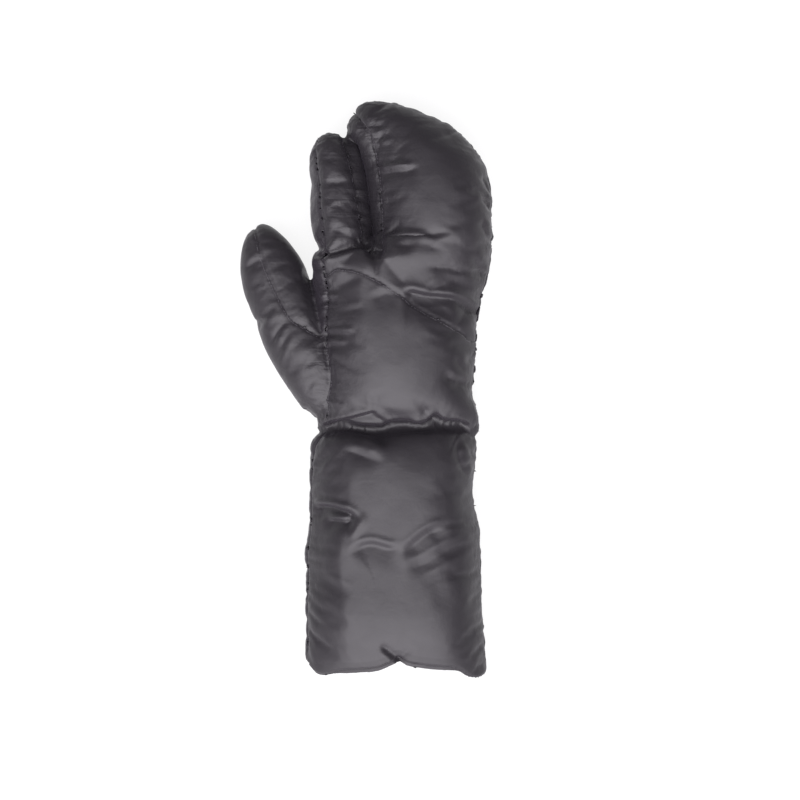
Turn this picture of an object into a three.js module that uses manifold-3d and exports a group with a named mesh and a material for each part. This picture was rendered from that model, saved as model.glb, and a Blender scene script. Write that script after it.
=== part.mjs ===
// A lobster claw mitt: a down-filled mitten with a long gauntlet, a thumb, an index finger of its own and
// one pouch for the other three fingers. It is sewn from padded panels, and each panel is one mesh here.
// It lies palm down on a flat surface. +Z is up, +Y runs from the cuff to the fingertips and -X is the
// thumb's side. All sizes are in millimetres. While it is being shaped, x = 0 is the middle of the hand and
// y = 0 is the wrist seam.

import * as THREE from "three";
import { mergeVertices } from "three/addons/utils/BufferGeometryUtils.js";
import Module from "manifold-3d";

const wasm = await Module();
wasm.setup();

// Driving dimensions

const gauntletLength = 168; // hem to wrist seam
const gauntletWidth = 122;
const gauntletDepth = 60;
const gauntletWall = 11; // loft of the down-filled wall

const handLength = 125; // wrist seam to the crotch beside the index finger
const handWidth = 108;
const handDepth = 62;
const handWall = 10;

const knuckleWidth = 121; // across the index finger and the pouch
const knuckleShift = 5.5; // the knuckles' middle lies this far towards the little finger

const pouchLength = 98; // crotch to tip
const pouchDepth = 62;
const pouchWall = 9;

const indexLength = 76; // crotch to tip
const indexWidth = 39;
const indexDepth = 50;
const indexLift = 4; // height of its underside over the surface
const indexWall = 8;
const fingerGap = 1.5; // between the index finger and the pouch at the crotch

const thumbLength = 80; // free of the hand
const thumbRoot = 60; // from the thumb's base at the wrist up to where it leaves the hand
const thumbWidth = 42;
const thumbDepth = 42;
const thumbWall = 8;
const thumbSplay = 22.5; // degrees between the thumb and the hand

const hemHeight = 9; // turned hem that gathers the cuff's mouth
const hemWall = 6;
const restSag = 4; // how much of the soft underside the surface flattens

const seamGap = 0.3; // between two panels
const seamSink = 4.5; // how far the stitching pulls the shell in
const seamReach = 9; // how far from the seam the filling is full again
const sinkLimit = 0.65; // the deepest crease, as a share of the wall
const indexMouth = 0.4; // how far into the hand the index finger's hollow opens, as a share of its length
const thumbMouth = 0.2; // where the thumb's hollow opens into the hand, as a share of the way along its root

const upperSquareness = 0.78; // exponent of a section's rounded rectangle: 1 is an ellipse, less is boxier
const lowerSquareness = 0.88;
const ringSpacing = 10;
const liningSpacing = 16;
const bodySides = 32;
const fingerSides = 18;
const liningSides = 14;

// Zones: the lengths, widths and depths that the tables below take their shares of

const pouchWidth = knuckleWidth - indexWidth - fingerGap;
const knuckleLeft = knuckleShift - knuckleWidth / 2;
const knuckleRight = knuckleShift + knuckleWidth / 2;

const gauntlet = {
  start: -gauntletLength,
  length: gauntletLength,
  centre: 0,
  half: gauntletWidth / 2,
  depth: gauntletDepth,
  wall: gauntletWall,
  low: -restSag,
};
const mouth = { ...gauntlet, wall: hemWall };
const hand = {
  start: 0,
  length: handLength,
  centre: 0,
  half: handWidth / 2,
  depth: handDepth,
  wall: handWall,
  low: -restSag,
};
const knuckles = { ...hand, centre: knuckleShift, half: knuckleWidth / 2 };
const pouch = {
  start: handLength,
  length: pouchLength,
  centre: knuckleRight - pouchWidth / 2,
  half: pouchWidth / 2,
  depth: pouchDepth,
  wall: pouchWall,
  low: -restSag,
};
const index = {
  start: handLength,
  length: indexLength,
  centre: knuckleLeft + indexWidth / 2,
  half: indexWidth / 2,
  depth: indexDepth,
  wall: indexWall,
  low: indexLift,
};
// The thumb's own frame has its origin at the base of the thumb and +Y along the thumb.
const thumb = {
  start: thumbRoot,
  length: thumbLength,
  centre: 0,
  half: thumbWidth / 2,
  depth: thumbDepth,
  wall: thumbWall,
  low: -restSag,
};
const thumbHeel = { ...thumb, start: 0, length: thumbRoot };
const thumbBase = new THREE.Vector2(-0.76 * hand.half, 0.07 * handLength);
const thumbTurn = THREE.MathUtils.degToRad(thumbSplay);

// Sections. at is a share of the zone's length; left and right are shares of its half width, measured from
// its centre; depth is a share of its depth, and lift is how far the underside stands clear, as a share of
// the depth.

const bodyRows = [
  { zone: mouth, at: -0.06, left: 0.9, right: 0.96, depth: 0.66, lift: 0.0 },
  { zone: mouth, at: 0.03, left: 0.97, right: 1.0, depth: 0.76, lift: 0.0 },
  { zone: gauntlet, at: 0.11, left: 1.01, right: 1.0, depth: 0.9, lift: 0.0 },
  { zone: gauntlet, at: 0.28, left: 1.02, right: 0.98, depth: 1.0, lift: 0.0 },
  { zone: gauntlet, at: 0.42, left: 1.005, right: 0.97, depth: 0.99, lift: 0.0 },
  { zone: gauntlet, at: 0.48, left: 1.025, right: 0.965, depth: 0.99, lift: 0.0 },
  { zone: gauntlet, at: 0.58, left: 0.98, right: 0.955, depth: 1.0, lift: 0.0 },
  { zone: gauntlet, at: 0.68, left: 0.965, right: 0.9, depth: 0.98, lift: 0.0 },
  { zone: gauntlet, at: 0.75, left: 0.965, right: 0.86, depth: 0.96, lift: 0.0 },
  { zone: gauntlet, at: 0.84, left: 0.955, right: 0.9, depth: 0.94, lift: 0.0 },
  { zone: gauntlet, at: 0.93, left: 0.925, right: 0.91, depth: 0.9, lift: 0.0 },
  { zone: hand, at: 0.0, left: 0.99, right: 1.04, depth: 0.82, lift: 0.0 },
  { zone: hand, at: 0.07, left: 0.98, right: 1.03, depth: 0.92, lift: 0.0 },
  { zone: hand, at: 0.2, left: 0.93, right: 0.975, depth: 0.98, lift: 0.0 },
  { zone: hand, at: 0.34, left: 0.925, right: 1.005, depth: 1.0, lift: 0.0 },
  { zone: hand, at: 0.55, left: 0.93, right: 1.03, depth: 0.98, lift: 0.0 },
  { zone: hand, at: 0.7, left: 0.95, right: 1.085, depth: 0.94, lift: 0.0 },
  { zone: knuckles, at: 0.82, left: 0.98, right: 0.955, depth: 0.94, lift: 0.0 },
  { zone: knuckles, at: 0.91, left: 0.95, right: 0.99, depth: 0.96, lift: 0.0 },
  { zone: knuckles, at: 0.975, left: 0.74, right: 1.0, depth: 0.96, lift: 0.0 },
  { zone: knuckles, at: 1.015, left: 0.4, right: 1.0, depth: 0.96, lift: 0.0 },
  { zone: pouch, at: 0.1, left: 1.03, right: 0.99, depth: 0.98, lift: 0.0 },
  { zone: pouch, at: 0.3, left: 1.11, right: 0.99, depth: 1.0, lift: 0.0 },
  { zone: pouch, at: 0.44, left: 1.175, right: 0.94, depth: 0.99, lift: 0.0 },
  { zone: pouch, at: 0.58, left: 1.28, right: 0.83, depth: 0.96, lift: 0.0 },
  { zone: pouch, at: 0.69, left: 1.39, right: 0.63, depth: 0.91, lift: 0.01 },
  { zone: pouch, at: 0.8, left: 1.48, right: 0.36, depth: 0.84, lift: 0.04 },
  { zone: pouch, at: 0.9, left: 1.39, right: -0.1, depth: 0.74, lift: 0.1 },
  { zone: pouch, at: 0.96, left: 1.3, right: -0.5, depth: 0.6, lift: 0.2 },
  { zone: pouch, at: 1.0, left: 1.14, right: -0.9, depth: 0.42, lift: 0.34 },
];

const indexRows = [
  { zone: index, at: -0.56, left: 0.5, right: 0.7, depth: 0.85, lift: 0.1 },
  { zone: index, at: -0.3, left: 0.94, right: 0.9, depth: 0.98, lift: 0.03 },
  { zone: index, at: -0.14, left: 1.02, right: 0.98, depth: 1.0, lift: -0.02 },
  { zone: index, at: 0.02, left: 0.93, right: 1.02, depth: 1.0, lift: -0.04 },
  { zone: index, at: 0.16, left: 0.98, right: 0.94, depth: 1.0, lift: 0.0 },
  { zone: index, at: 0.32, left: 1.06, right: 0.82, depth: 1.0, lift: 0.0 },
  { zone: index, at: 0.52, left: 1.05, right: 0.67, depth: 0.99, lift: 0.0 },
  { zone: index, at: 0.7, left: 1.12, right: 0.5, depth: 0.95, lift: 0.0 },
  { zone: index, at: 0.84, left: 1.1, right: 0.34, depth: 0.87, lift: 0.05 },
  { zone: index, at: 0.93, left: 1.0, right: 0.16, depth: 0.76, lift: 0.14 },
  { zone: index, at: 0.98, left: 0.8, right: -0.1, depth: 0.62, lift: 0.26 },
  { zone: index, at: 1.0, left: 0.54, right: -0.3, depth: 0.5, lift: 0.36 },
];

// The thumb is wide to the right at its heel, inside the hand, where its hollow opens into the hand's.
const thumbRows = [
  { zone: thumbHeel, at: 0.0, left: 0.62, right: 1.3, depth: 0.76, lift: 0.0 },
  { zone: thumbHeel, at: 0.5, left: 0.97, right: 1.8, depth: 0.92, lift: 0.0 },
  { zone: thumb, at: 0.04, left: 1.19, right: 1.05, depth: 1.0, lift: 0.0 },
  { zone: thumb, at: 0.4, left: 1.15, right: 0.9, depth: 0.98, lift: 0.0 },
  { zone: thumb, at: 0.72, left: 0.91, right: 0.68, depth: 0.9, lift: 0.04 },
  { zone: thumb, at: 0.9, left: 0.6, right: 0.46, depth: 0.76, lift: 0.14 },
  { zone: thumb, at: 0.97, left: 0.36, right: 0.3, depth: 0.6, lift: 0.26 },
  { zone: thumb, at: 1.0, left: 0.16, right: 0.16, depth: 0.5, lift: 0.38 },
];

// Height of the side seams' surface, as a share of the zone's depth: on the hand's left edge, at the
// surface's bend, which lies a share seamBend of the hand's half width left of its middle, and on the right.

const seamBend = 0.3;
const sideSeamRows = [
  { zone: gauntlet, at: -0.1, left: 0.5, middle: 0.42, right: 0.42 },
  { zone: gauntlet, at: 0.2, left: 0.58, middle: 0.44, right: 0.44 },
  { zone: gauntlet, at: 0.88, left: 0.58, middle: 0.44, right: 0.44 },
  { zone: hand, at: 0.0, left: 0.66, middle: 0.42, right: 0.42 },
  { zone: hand, at: 0.14, left: 0.88, middle: 0.42, right: 0.44 },
  { zone: hand, at: 1.0, left: 0.9, middle: 0.42, right: 0.44 },
  { zone: pouch, at: 0.3, left: 0.88, middle: 0.42, right: 0.43 },
  { zone: pouch, at: 0.55, left: 0.75, middle: 0.4, right: 0.42 },
  { zone: pouch, at: 0.68, left: 0.58, middle: 0.39, right: 0.4 },
  { zone: pouch, at: 0.8, left: 0.44, middle: 0.38, right: 0.38 },
  { zone: pouch, at: 1.05, left: 0.38, middle: 0.36, right: 0.36 },
];

// Seams and edges, seen from above. along is a share of the zone's length and across a share of its half
// width.

const hemEdge = [
  { zone: gauntlet, along: 0.055, across: -1.2 },
  { zone: gauntlet, along: 0.045, across: -0.98 },
  { zone: gauntlet, along: 0.025, across: -0.92 },
  { zone: gauntlet, along: 0.016, across: -0.84 },
  { zone: gauntlet, along: 0.022, across: -0.75 },
  { zone: gauntlet, along: 0.042, across: -0.62 },
  { zone: gauntlet, along: 0.052, across: -0.24 },
  { zone: gauntlet, along: 0.082, across: 0.0 },
  { zone: gauntlet, along: 0.076, across: 0.12 },
  { zone: gauntlet, along: 0.056, across: 0.38 },
  { zone: gauntlet, along: 0.045, across: 0.64 },
  { zone: gauntlet, along: 0.014, across: 0.78 },
  { zone: gauntlet, along: 0.002, across: 0.88 },
  { zone: gauntlet, along: 0.01, across: 0.98 },
  { zone: gauntlet, along: 0.04, across: 1.2 },
];
const wristSeam = [
  { zone: hand, along: -0.03, across: -1.4 },
  { zone: hand, along: -0.01, across: -1.0 },
  { zone: hand, along: 0.0, across: -0.6 },
  { zone: hand, along: -0.02, across: -0.3 },
  { zone: hand, along: 0.0, across: 0.0 },
  { zone: hand, along: 0.015, across: 0.5 },
  { zone: hand, along: -0.02, across: 0.85 },
  { zone: hand, along: -0.05, across: 1.4 },
];
const knuckleSeam = [
  { zone: hand, along: 0.9, across: -1.4 },
  { zone: hand, along: 0.9, across: -0.87 },
  { zone: hand, along: 0.87, across: -0.64 },
  { zone: hand, along: 0.71, across: 0.05 },
  { zone: hand, along: 0.5, across: 0.9 },
  { zone: hand, along: 0.46, across: 1.4 },
];
const pouchSideSeam = [
  { zone: pouch, along: -0.02, across: -0.9 },
  { zone: pouch, along: 0.3, across: -0.92 },
  { zone: pouch, along: 0.5, across: -0.97 },
  { zone: pouch, along: 0.74, across: -1.12 },
  { zone: pouch, along: 0.92, across: -1.34 },
  { zone: pouch, along: 1.1, across: -1.5 },
];
const indexSideSeam = [
  { zone: index, along: -0.03, across: 0.78 },
  { zone: index, along: 0.3, across: 0.62 },
  { zone: index, along: 0.6, across: 0.42 },
  { zone: index, along: 0.86, across: 0.16 },
  { zone: index, along: 1.1, across: -0.1 },
];
const crotchSeam = { zone: hand, along: 0.965, across: -0.38 };
const thumbSeam = [
  { zone: thumb, along: 1.1, across: -0.1 },
  { zone: thumb, along: 0.97, across: -0.16 },
  { zone: thumb, along: 0.64, across: -0.36 },
  { zone: thumb, along: 0.33, across: -0.28 },
  { zone: thumb, along: 0.13, across: -0.08 },
  { zone: thumb, along: -0.12, across: 0.6 },
  { zone: thumb, along: -0.3, across: 1.1 },
];

// Folds and dents of the upper face, each from one place to another. width is a share of the zone's half
// width and sink a share of seamSink; a negative sink stands up.

const foldRows = [
  { zone: hand, from: [-0.01, -1.05], to: [0.11, -0.3], width: 0.08, sink: 1.0 },
  { zone: hand, from: [-0.04, -1.0], to: [-0.03, 1.0], width: 0.14, sink: 0.9 },
  { zone: hand, from: [0.08, 0.2], to: [0.09, 0.75], width: 0.14, sink: -0.5 },
  { zone: hand, from: [0.96, -0.38], to: [0.93, -1.0], width: 0.09, sink: 0.9 },
  { zone: hand, from: [1.0, -0.26], to: [1.07, 0.5], width: 0.09, sink: -0.6 },
  { zone: hand, from: [1.0, -0.3], to: [0.8, 0.2], width: 0.1, sink: 0.5 },
  { zone: hand, from: [0.68, 0.15], to: [0.6, 0.95], width: 0.09, sink: -0.5 },
  { zone: gauntlet, from: [0.62, -0.98], to: [0.6, -0.55], width: 0.08, sink: 0.8 },
  { zone: gauntlet, from: [0.68, -0.9], to: [0.66, -0.62], width: 0.08, sink: -0.5 },
  { zone: gauntlet, from: [0.86, -0.2], to: [0.93, 0.9], width: 0.16, sink: 0.8 },
  { zone: gauntlet, from: [0.9, 0.75], to: [0.72, 1.0], width: 0.09, sink: 0.7 },
  { zone: gauntlet, from: [0.46, -0.4], to: [0.44, 0.25], width: 0.1, sink: 0.7 },
  { zone: gauntlet, from: [0.42, 0.5], to: [0.52, 0.95], width: 0.12, sink: 0.6 },
  { zone: gauntlet, from: [0.3, -0.5], to: [0.36, -0.85], width: 0.1, sink: 0.4 },
  { zone: gauntlet, from: [0.1, 0.0], to: [0.22, -0.14], width: 0.14, sink: 0.6 },
  { zone: pouch, from: [0.02, -0.85], to: [0.1, -0.2], width: 0.1, sink: -0.4 },
  { zone: pouch, from: [0.42, -0.95], to: [0.46, -0.45], width: 0.08, sink: -0.5 },
  { zone: pouch, from: [0.36, -0.95], to: [0.4, -0.5], width: 0.08, sink: 0.5 },
  { zone: index, from: [0.5, -0.6], to: [0.47, 0.5], width: 0.14, sink: 0.4 },
];

// Curves

/** A place given in shares of a zone, as a point seen from above. */
const place = ({ zone, along, across }) =>
  new THREE.Vector2(zone.centre + across * zone.half, zone.start + along * zone.length);

/** The thumb's frame to the hand's frame, seen from above. */
const fromThumb = (point) => point.clone().rotateAround(new THREE.Vector2(), thumbTurn).add(thumbBase);

/** Table rows as stations in millimetres. */
const stationsOf = (rows) =>
  rows.map(({ zone, at, left, right, depth, lift }) => ({
    y: zone.start + at * zone.length,
    left: zone.centre - left * zone.half,
    right: zone.centre + right * zone.half,
    low: zone.low + lift * zone.depth,
    high: Math.max(zone.low, 0) + depth * zone.depth,
    wall: zone.wall,
  }));

/** One column of the stations at y, on a monotone cubic, which never overshoots between two stations. */
function follow(stations, column, y) {
  const last = stations.length - 2;
  let i = stations.findIndex((station) => station.y > y) - 1;
  i = i < -1 ? last : THREE.MathUtils.clamp(i, 0, last);
  const slope = (k) =>
    (stations[k + 1][column] - stations[k][column]) / (stations[k + 1].y - stations[k].y);
  const tangent = (k) => {
    if (k === 0 || k === stations.length - 1) return slope(Math.min(k, last));
    const [before, after] = [slope(k - 1), slope(k)];
    return before * after > 0 ? (2 * before * after) / (before + after) : 0;
  };
  const span = stations[i + 1].y - stations[i].y;
  const t = THREE.MathUtils.clamp((y - stations[i].y) / span, 0, 1);
  return (
    stations[i][column] * (2 * t ** 3 - 3 * t ** 2 + 1) +
    stations[i + 1][column] * (3 * t ** 2 - 2 * t ** 3) +
    tangent(i) * span * (t ** 3 - 2 * t ** 2 + t) +
    tangent(i + 1) * span * (t ** 3 - t ** 2)
  );
}

/** A tube's section at y: its left, right, low and high edges. */
const sectionAt = (stations, y) => ({
  left: follow(stations, "left", y),
  right: follow(stations, "right", y),
  low: follow(stations, "low", y),
  high: follow(stations, "high", y),
});

// Where a wall's thickness is measured around a point of its outside, as shares of the wall along y.
const wallSteps = [-1, -0.87, -0.5, 0, 0.5, 0.87, 1];

/** The section of the hollow inside a tube at y, one wall in from the outside, or null past its end. */
function hollowAt(stations, y) {
  const wall = follow(stations, "wall", y);
  if (y + wall > stations[stations.length - 1].y) return null;
  const around = wallSteps.map((step) => {
    const outside = sectionAt(stations, y + step * wall);
    const inset = wall * Math.sqrt(1 - step ** 2);
    return {
      left: outside.left + inset,
      right: outside.right - inset,
      low: Math.max(outside.low, 0) + inset,
      high: outside.high - inset,
    };
  });
  const hollow = {
    left: Math.max(...around.map((edge) => edge.left)),
    right: Math.min(...around.map((edge) => edge.right)),
    low: Math.max(...around.map((edge) => edge.low)),
    high: Math.min(...around.map((edge) => edge.high)),
  };
  return hollow.right - hollow.left > wall && hollow.high - hollow.low > wall ? hollow : null;
}

/** Distance from a point to a line of points, all seen from above. */
function distanceToLine(point, line) {
  const nearest = new THREE.Vector3();
  const at = new THREE.Vector3(point.x, point.y, 0);
  return Math.min(
    ...line.slice(1).map((end, i) => {
      const start = new THREE.Vector3(line[i].x, line[i].y, 0);
      const piece = new THREE.Line3(start, new THREE.Vector3(end.x, end.y, 0));
      return piece.closestPointToPoint(at, true, nearest).distanceTo(at);
    }),
  );
}

const sideSeams = sideSeamRows.map(({ zone, at, left, middle, right }) => ({
  y: zone.start + at * zone.length,
  left: left * zone.depth,
  middle: middle * zone.depth,
  right: right * zone.depth,
}));
const bendX = -seamBend * hand.half;

/** Height of the side seams' surface, which is straight from its bend to each edge of the hand and beyond. */
function sideSeamHeight(x, y) {
  const middle = follow(sideSeams, "middle", y);
  const [side, run] = x > bendX ? ["right", hand.half - bendX] : ["left", hand.half + bendX];
  return middle + ((follow(sideSeams, side, y) - middle) * Math.abs(x - bendX)) / run;
}

// Shell surfaces

const lines = {
  hem: hemEdge.map(place),
  wrist: wristSeam.map(place),
  knuckle: knuckleSeam.map(place),
  pouchSide: pouchSideSeam.map(place),
  indexSide: indexSideSeam.map(place),
  thumb: thumbSeam.map(place),
};
lines.hemSeam = lines.hem.map((p) => new THREE.Vector2(p.x, p.y + hemHeight));

const folds = foldRows.map(({ zone, from, to, width, sink }) => ({
  line: [from, to].map(([along, across]) => place({ zone, along, across })),
  width: width * zone.half,
  sink: sink * seamSink,
}));

/** How much of a seam's pull is left at a distance from it. */
const pull = (distance, reach) => Math.exp(-((distance / reach) ** 2));

/**
 * How far the hand's shell is drawn in at a point, by the nearest seam and by the folds. A seam that is drawn
 * seen from above lies where the shell faces up or down, which upright says: 1 on top, 0 on a side.
 */
function handSink(point, upright) {
  const plan = new THREE.Vector2(point.x, point.y);
  const above = point.z - sideSeamHeight(point.x, point.y);
  const across = [lines.wrist, lines.hemSeam].map((line) => distanceToLine(plan, line));
  const near = Math.min(...across, Math.abs(above));
  const flat = [Infinity];
  if (above > 0) flat.push(distanceToLine(plan, lines.knuckle));
  if (plan.y > place(crotchSeam).y) {
    flat.push(distanceToLine(plan, lines.pouchSide), distanceToLine(plan, lines.indexSide));
  }
  const seams = Math.max(pull(near, seamReach), upright * pull(Math.min(...flat), seamReach));
  const crease = (fold) => fold.sink * pull(distanceToLine(plan, fold.line), fold.width);
  const creases = above > 0 ? folds.map(crease) : [];
  return Math.min(creases.reduce((sum, sink) => sum + sink, seamSink * seams), sinkLimit * handWall);
}

/** How far the thumb's shell is drawn in at a point of the thumb's own frame. */
const thumbSink = (point, upright) =>
  upright * seamSink * pull(distanceToLine(new THREE.Vector2(point.x, point.y), lines.thumb), seamReach);

/** No seam: the inside of the wall. */
const unsunk = () => 0;

/** A rounded rectangle through a section's edges, flattened where it would pass below the resting surface. */
function ringOf(section, y, sides, sinkAt, grow) {
  const [x, z] = [(section.left + section.right) / 2, (section.low + section.high) / 2];
  const [halfX, halfZ] = [section.right - x + grow, section.high - z + grow];
  const power = (value, exponent) => Math.sign(value) * Math.abs(value) ** exponent;
  return Array.from({ length: sides }, (_, k) => {
    const angle = (2 * Math.PI * (k + 0.5)) / sides;
    const [c, s] = [Math.cos(angle), Math.sin(angle)];
    const exponent = s > 0 ? upperSquareness : lowerSquareness;
    const point = new THREE.Vector3(x + halfX * power(c, exponent), y, z + halfZ * power(s, exponent));
    const outward = new THREE.Vector3(power(c, 2 - exponent) / halfX, 0, power(s, 2 - exponent) / halfZ);
    outward.normalize();
    point.addScaledVector(outward, -sinkAt(point, Math.abs(outward.z)));
    point.z = Math.max(point.z, 0);
    return point;
  });
}

/** A closed tube through rings of points, each end closed by a fan. */
function tubeOf(rings) {
  const sides = rings[0].length;
  const middle = (ring) => ring.reduce((sum, p) => sum.add(p), new THREE.Vector3()).divideScalar(sides);
  const points = [...rings.flat(), middle(rings[0]), middle(rings[rings.length - 1])];
  const faces = [];
  for (let k = 0; k < sides; k++) {
    const next = (k + 1) % sides;
    for (let r = 0; r + 1 < rings.length; r++) {
      const [a, b] = [r * sides + k, r * sides + next];
      faces.push(a, b, b + sides, a, b + sides, a + sides);
    }
    const lastRing = (rings.length - 1) * sides;
    faces.push(next, k, points.length - 2, lastRing + k, lastRing + next, points.length - 1);
  }
  return new THREE.BufferGeometry().setFromPoints(points).setIndex(faces.reverse());
}

/** Evenly spaced values from one end up to the other, no further apart than the spacing. */
function stepsBetween(from, to, spacing) {
  const count = Math.ceil((to - from) / spacing);
  return Array.from({ length: count }, (_, k) => from + ((to - from) * k) / count);
}

/** The y of each ring: every station, with more between stations that lie far apart. */
function ringPlaces(stations) {
  const spans = stations.slice(1).flatMap((next, i) => stepsBetween(stations[i].y, next.y, ringSpacing));
  return [...spans, stations[stations.length - 1].y];
}

/** The outside of a padded tube. grow makes it larger all round, to cut a neighbour back from it. */
function outsideOf(rows, sides, sinkAt, grow = 0) {
  const stations = stationsOf(rows);
  return tubeOf(ringPlaces(stations).map((y) => ringOf(sectionAt(stations, y), y, sides, sinkAt, grow)));
}

/** The hollow inside a padded tube, from a given y to one wall short of its tip. */
function hollowOf(rows, from) {
  const stations = stationsOf(rows);
  const rings = stepsBetween(from, stations[stations.length - 1].y, liningSpacing)
    .map((y) => ({ y, section: hollowAt(stations, y) }))
    .filter(({ section }) => section)
    .map(({ y, section }) => ringOf(section, y, liningSides, unsunk, 0));
  return tubeOf(rings);
}

// Solids

const weldDistance = 1e-4;

/** A closed geometry as a solid for cutting. */
function solid(geometry) {
  const bare = geometry.clone();
  bare.deleteAttribute("normal");
  bare.deleteAttribute("uv");
  const merged = mergeVertices(bare, weldDistance);
  const mesh = new wasm.Mesh({
    numProp: 3,
    vertProperties: new Float32Array(merged.attributes.position.array),
    triVerts: new Uint32Array(merged.index.array),
  });
  return new wasm.Manifold(mesh);
}

/** A cut solid as a geometry again, the largest body alone, so that no sliver of a cut stays with it. */
function geometryOf(cut) {
  const [body] = cut.decompose().sort((a, b) => b.volume() - a.volume());
  const mesh = body.getMesh();
  const geometry = new THREE.BufferGeometry();
  geometry.setAttribute("position", new THREE.BufferAttribute(new Float32Array(mesh.vertProperties), 3));
  geometry.setIndex(new THREE.BufferAttribute(new Uint32Array(mesh.triVerts), 1));
  geometry.computeVertexNormals();
  return geometry;
}

const reach = 2 * (gauntletLength + handLength + pouchLength); // past everything, for the solids that cut

/** An upright block over an outline seen from above. */
function blockOver(outline) {
  const geometry = new THREE.ExtrudeGeometry(new THREE.Shape(outline), { depth: reach, bevelEnabled: false });
  return solid(geometry.translate(0, 0, -reach / 2));
}

/** The upright block between two lines that both run from the thumb's side to the little finger's. */
const blockBetween = (lower, upper) => blockOver([...lower, ...[...upper].reverse()]);

/** A line moved sideways or lengthwise. */
const shifted = (line, x, y) => line.map((p) => new THREE.Vector2(p.x + x, p.y + y));

/** A line carried straight out to far left and far right. */
const extended = (line) => [
  new THREE.Vector2(-reach, line[0].y),
  ...line,
  new THREE.Vector2(reach, line[line.length - 1].y),
];

/** Everything above the surface of the side seams, when that is raised by a given height. */
function aboveSeams(raise) {
  const [from, to] = [sideSeams[0].y, sideSeams[sideSeams.length - 1].y];
  const places = [-reach, ...stepsBetween(from, to, liningSpacing), reach];
  const [left, right] = [-2 * handWidth, 2 * handWidth];
  const rings = places.map((y) => {
    const seamAt = (x) => new THREE.Vector3(x, y, sideSeamHeight(x, y) + raise);
    const farAbove = (x) => new THREE.Vector3(x, y, reach);
    return [seamAt(bendX), seamAt(right), farAbove(right), farAbove(bendX), farAbove(left), seamAt(left)];
  });
  return solid(tubeOf(rings));
}

/** A geometry carried from the thumb's frame to the hand's. */
const onHand = (geometry) => geometry.rotateZ(thumbTurn).translate(thumbBase.x, thumbBase.y, 0);

const far = extended([new THREE.Vector2(0, reach / 2)]);
const near = extended([new THREE.Vector2(0, -reach / 2)]);

const bodyOutside = solid(outsideOf(bodyRows, bodySides, handSink));
const bodyClear = solid(outsideOf(bodyRows, bodySides, handSink, seamGap));
const indexOutside = solid(outsideOf(indexRows, fingerSides, handSink));
const thumbOutside = solid(onHand(outsideOf(thumbRows, fingerSides, thumbSink)));

const hollow = solid(hollowOf(bodyRows, gauntlet.start - hemWall))
  .add(solid(hollowOf(indexRows, index.start - indexMouth * indexLength)))
  .add(solid(onHand(hollowOf(thumbRows, thumbMouth * thumbRoot))));

const trimmed = blockBetween(extended(lines.hem), far);
const handShell = bodyOutside.add(indexOutside).subtract(hollow).intersect(trimmed);
const thumbShell = thumbOutside.subtract(bodyClear).subtract(hollow);

const back = handShell.intersect(aboveSeams(seamGap / 2));
const underside = handShell.subtract(aboveSeams(-seamGap / 2));

const crotch = place(crotchSeam);
const gussetOutline = (gap) => [
  new THREE.Vector2(crotch.x, crotch.y - gap),
  ...shifted(lines.pouchSide, gap, 0),
  ...shifted([...lines.indexSide].reverse(), -gap, 0),
];
const gusset = blockOver(gussetOutline(0));
const gussetClear = blockOver(gussetOutline(seamGap));

const wristUp = blockBetween(extended(shifted(lines.wrist, 0, seamGap)), far);
const gauntletSpan = blockBetween(extended(shifted(lines.hemSeam, 0, seamGap)), extended(lines.wrist));
const handSpan = blockBetween(extended(shifted(lines.wrist, 0, seamGap)), extended(lines.knuckle));
const fingerSpan = blockBetween(extended(shifted(lines.knuckle, 0, seamGap)), far);
const hemSpan = blockBetween(near, extended(lines.hemSeam));

/** The index finger beyond the crotch, whose underside is a panel of its own, set in across its root. */
const indexBlock = (gap) => {
  const root = crotch.y - gap;
  const tip = lines.indexSide[lines.indexSide.length - 1].y;
  const outside = [new THREE.Vector2(-reach, tip), new THREE.Vector2(-reach, root)];
  return blockOver([new THREE.Vector2(crotch.x, root), ...lines.indexSide, ...outside]);
};

/** The index finger's side of the thumb, right of the thumb's seam. */
const thumbSideBlock = (gap) => {
  const seam = shifted(lines.thumb, gap, 0);
  const outside = [new THREE.Vector2(reach, seam[seam.length - 1].y), new THREE.Vector2(reach, seam[0].y)];
  return blockOver([...seam, ...outside].map(fromThumb).reverse());
};

const palmAndIndex = underside.intersect(wristUp).subtract(gussetClear);

// The mitt

const shellNylon = { color: 0x2b292d, roughness: 0.42, metalness: 0 };
const undersideNylon = { color: 0x28262a, roughness: 0.45, metalness: 0 };
const hemNylon = { color: 0x252326, roughness: 0.5, metalness: 0 };

/** A named panel of the mitt. */
function panel(name, cut, finish) {
  const mesh = new THREE.Mesh(geometryOf(cut), new THREE.MeshStandardMaterial(finish));
  mesh.name = name;
  return mesh;
}

const mitt = new THREE.Group();
mitt.add(
  panel("cuff_hem", handShell.intersect(hemSpan), hemNylon),
  panel("gauntlet_back", back.intersect(gauntletSpan), shellNylon),
  panel("gauntlet_palm", underside.intersect(gauntletSpan), undersideNylon),
  panel("hand_back", back.intersect(handSpan).subtract(gussetClear), shellNylon),
  panel("finger_back", back.intersect(fingerSpan).subtract(gussetClear), shellNylon),
  panel("palm", palmAndIndex.subtract(indexBlock(seamGap)), undersideNylon),
  panel("index_palm", palmAndIndex.intersect(indexBlock(0)), undersideNylon),
  panel("finger_gusset", handShell.intersect(gusset), shellNylon),
  panel("thumb_outer", thumbShell.subtract(thumbSideBlock(-seamGap)), shellNylon),
  panel("thumb_inner", thumbShell.intersect(thumbSideBlock(0)), shellNylon),
);

// The origin is the middle of the mitt's outline, on the surface that it lies on.
const extent = new THREE.Box3().setFromObject(mitt);
const centre = extent.getCenter(new THREE.Vector3());
mitt.position.set(-centre.x, -centre.y, -extent.min.z);

export default mitt;
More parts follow.
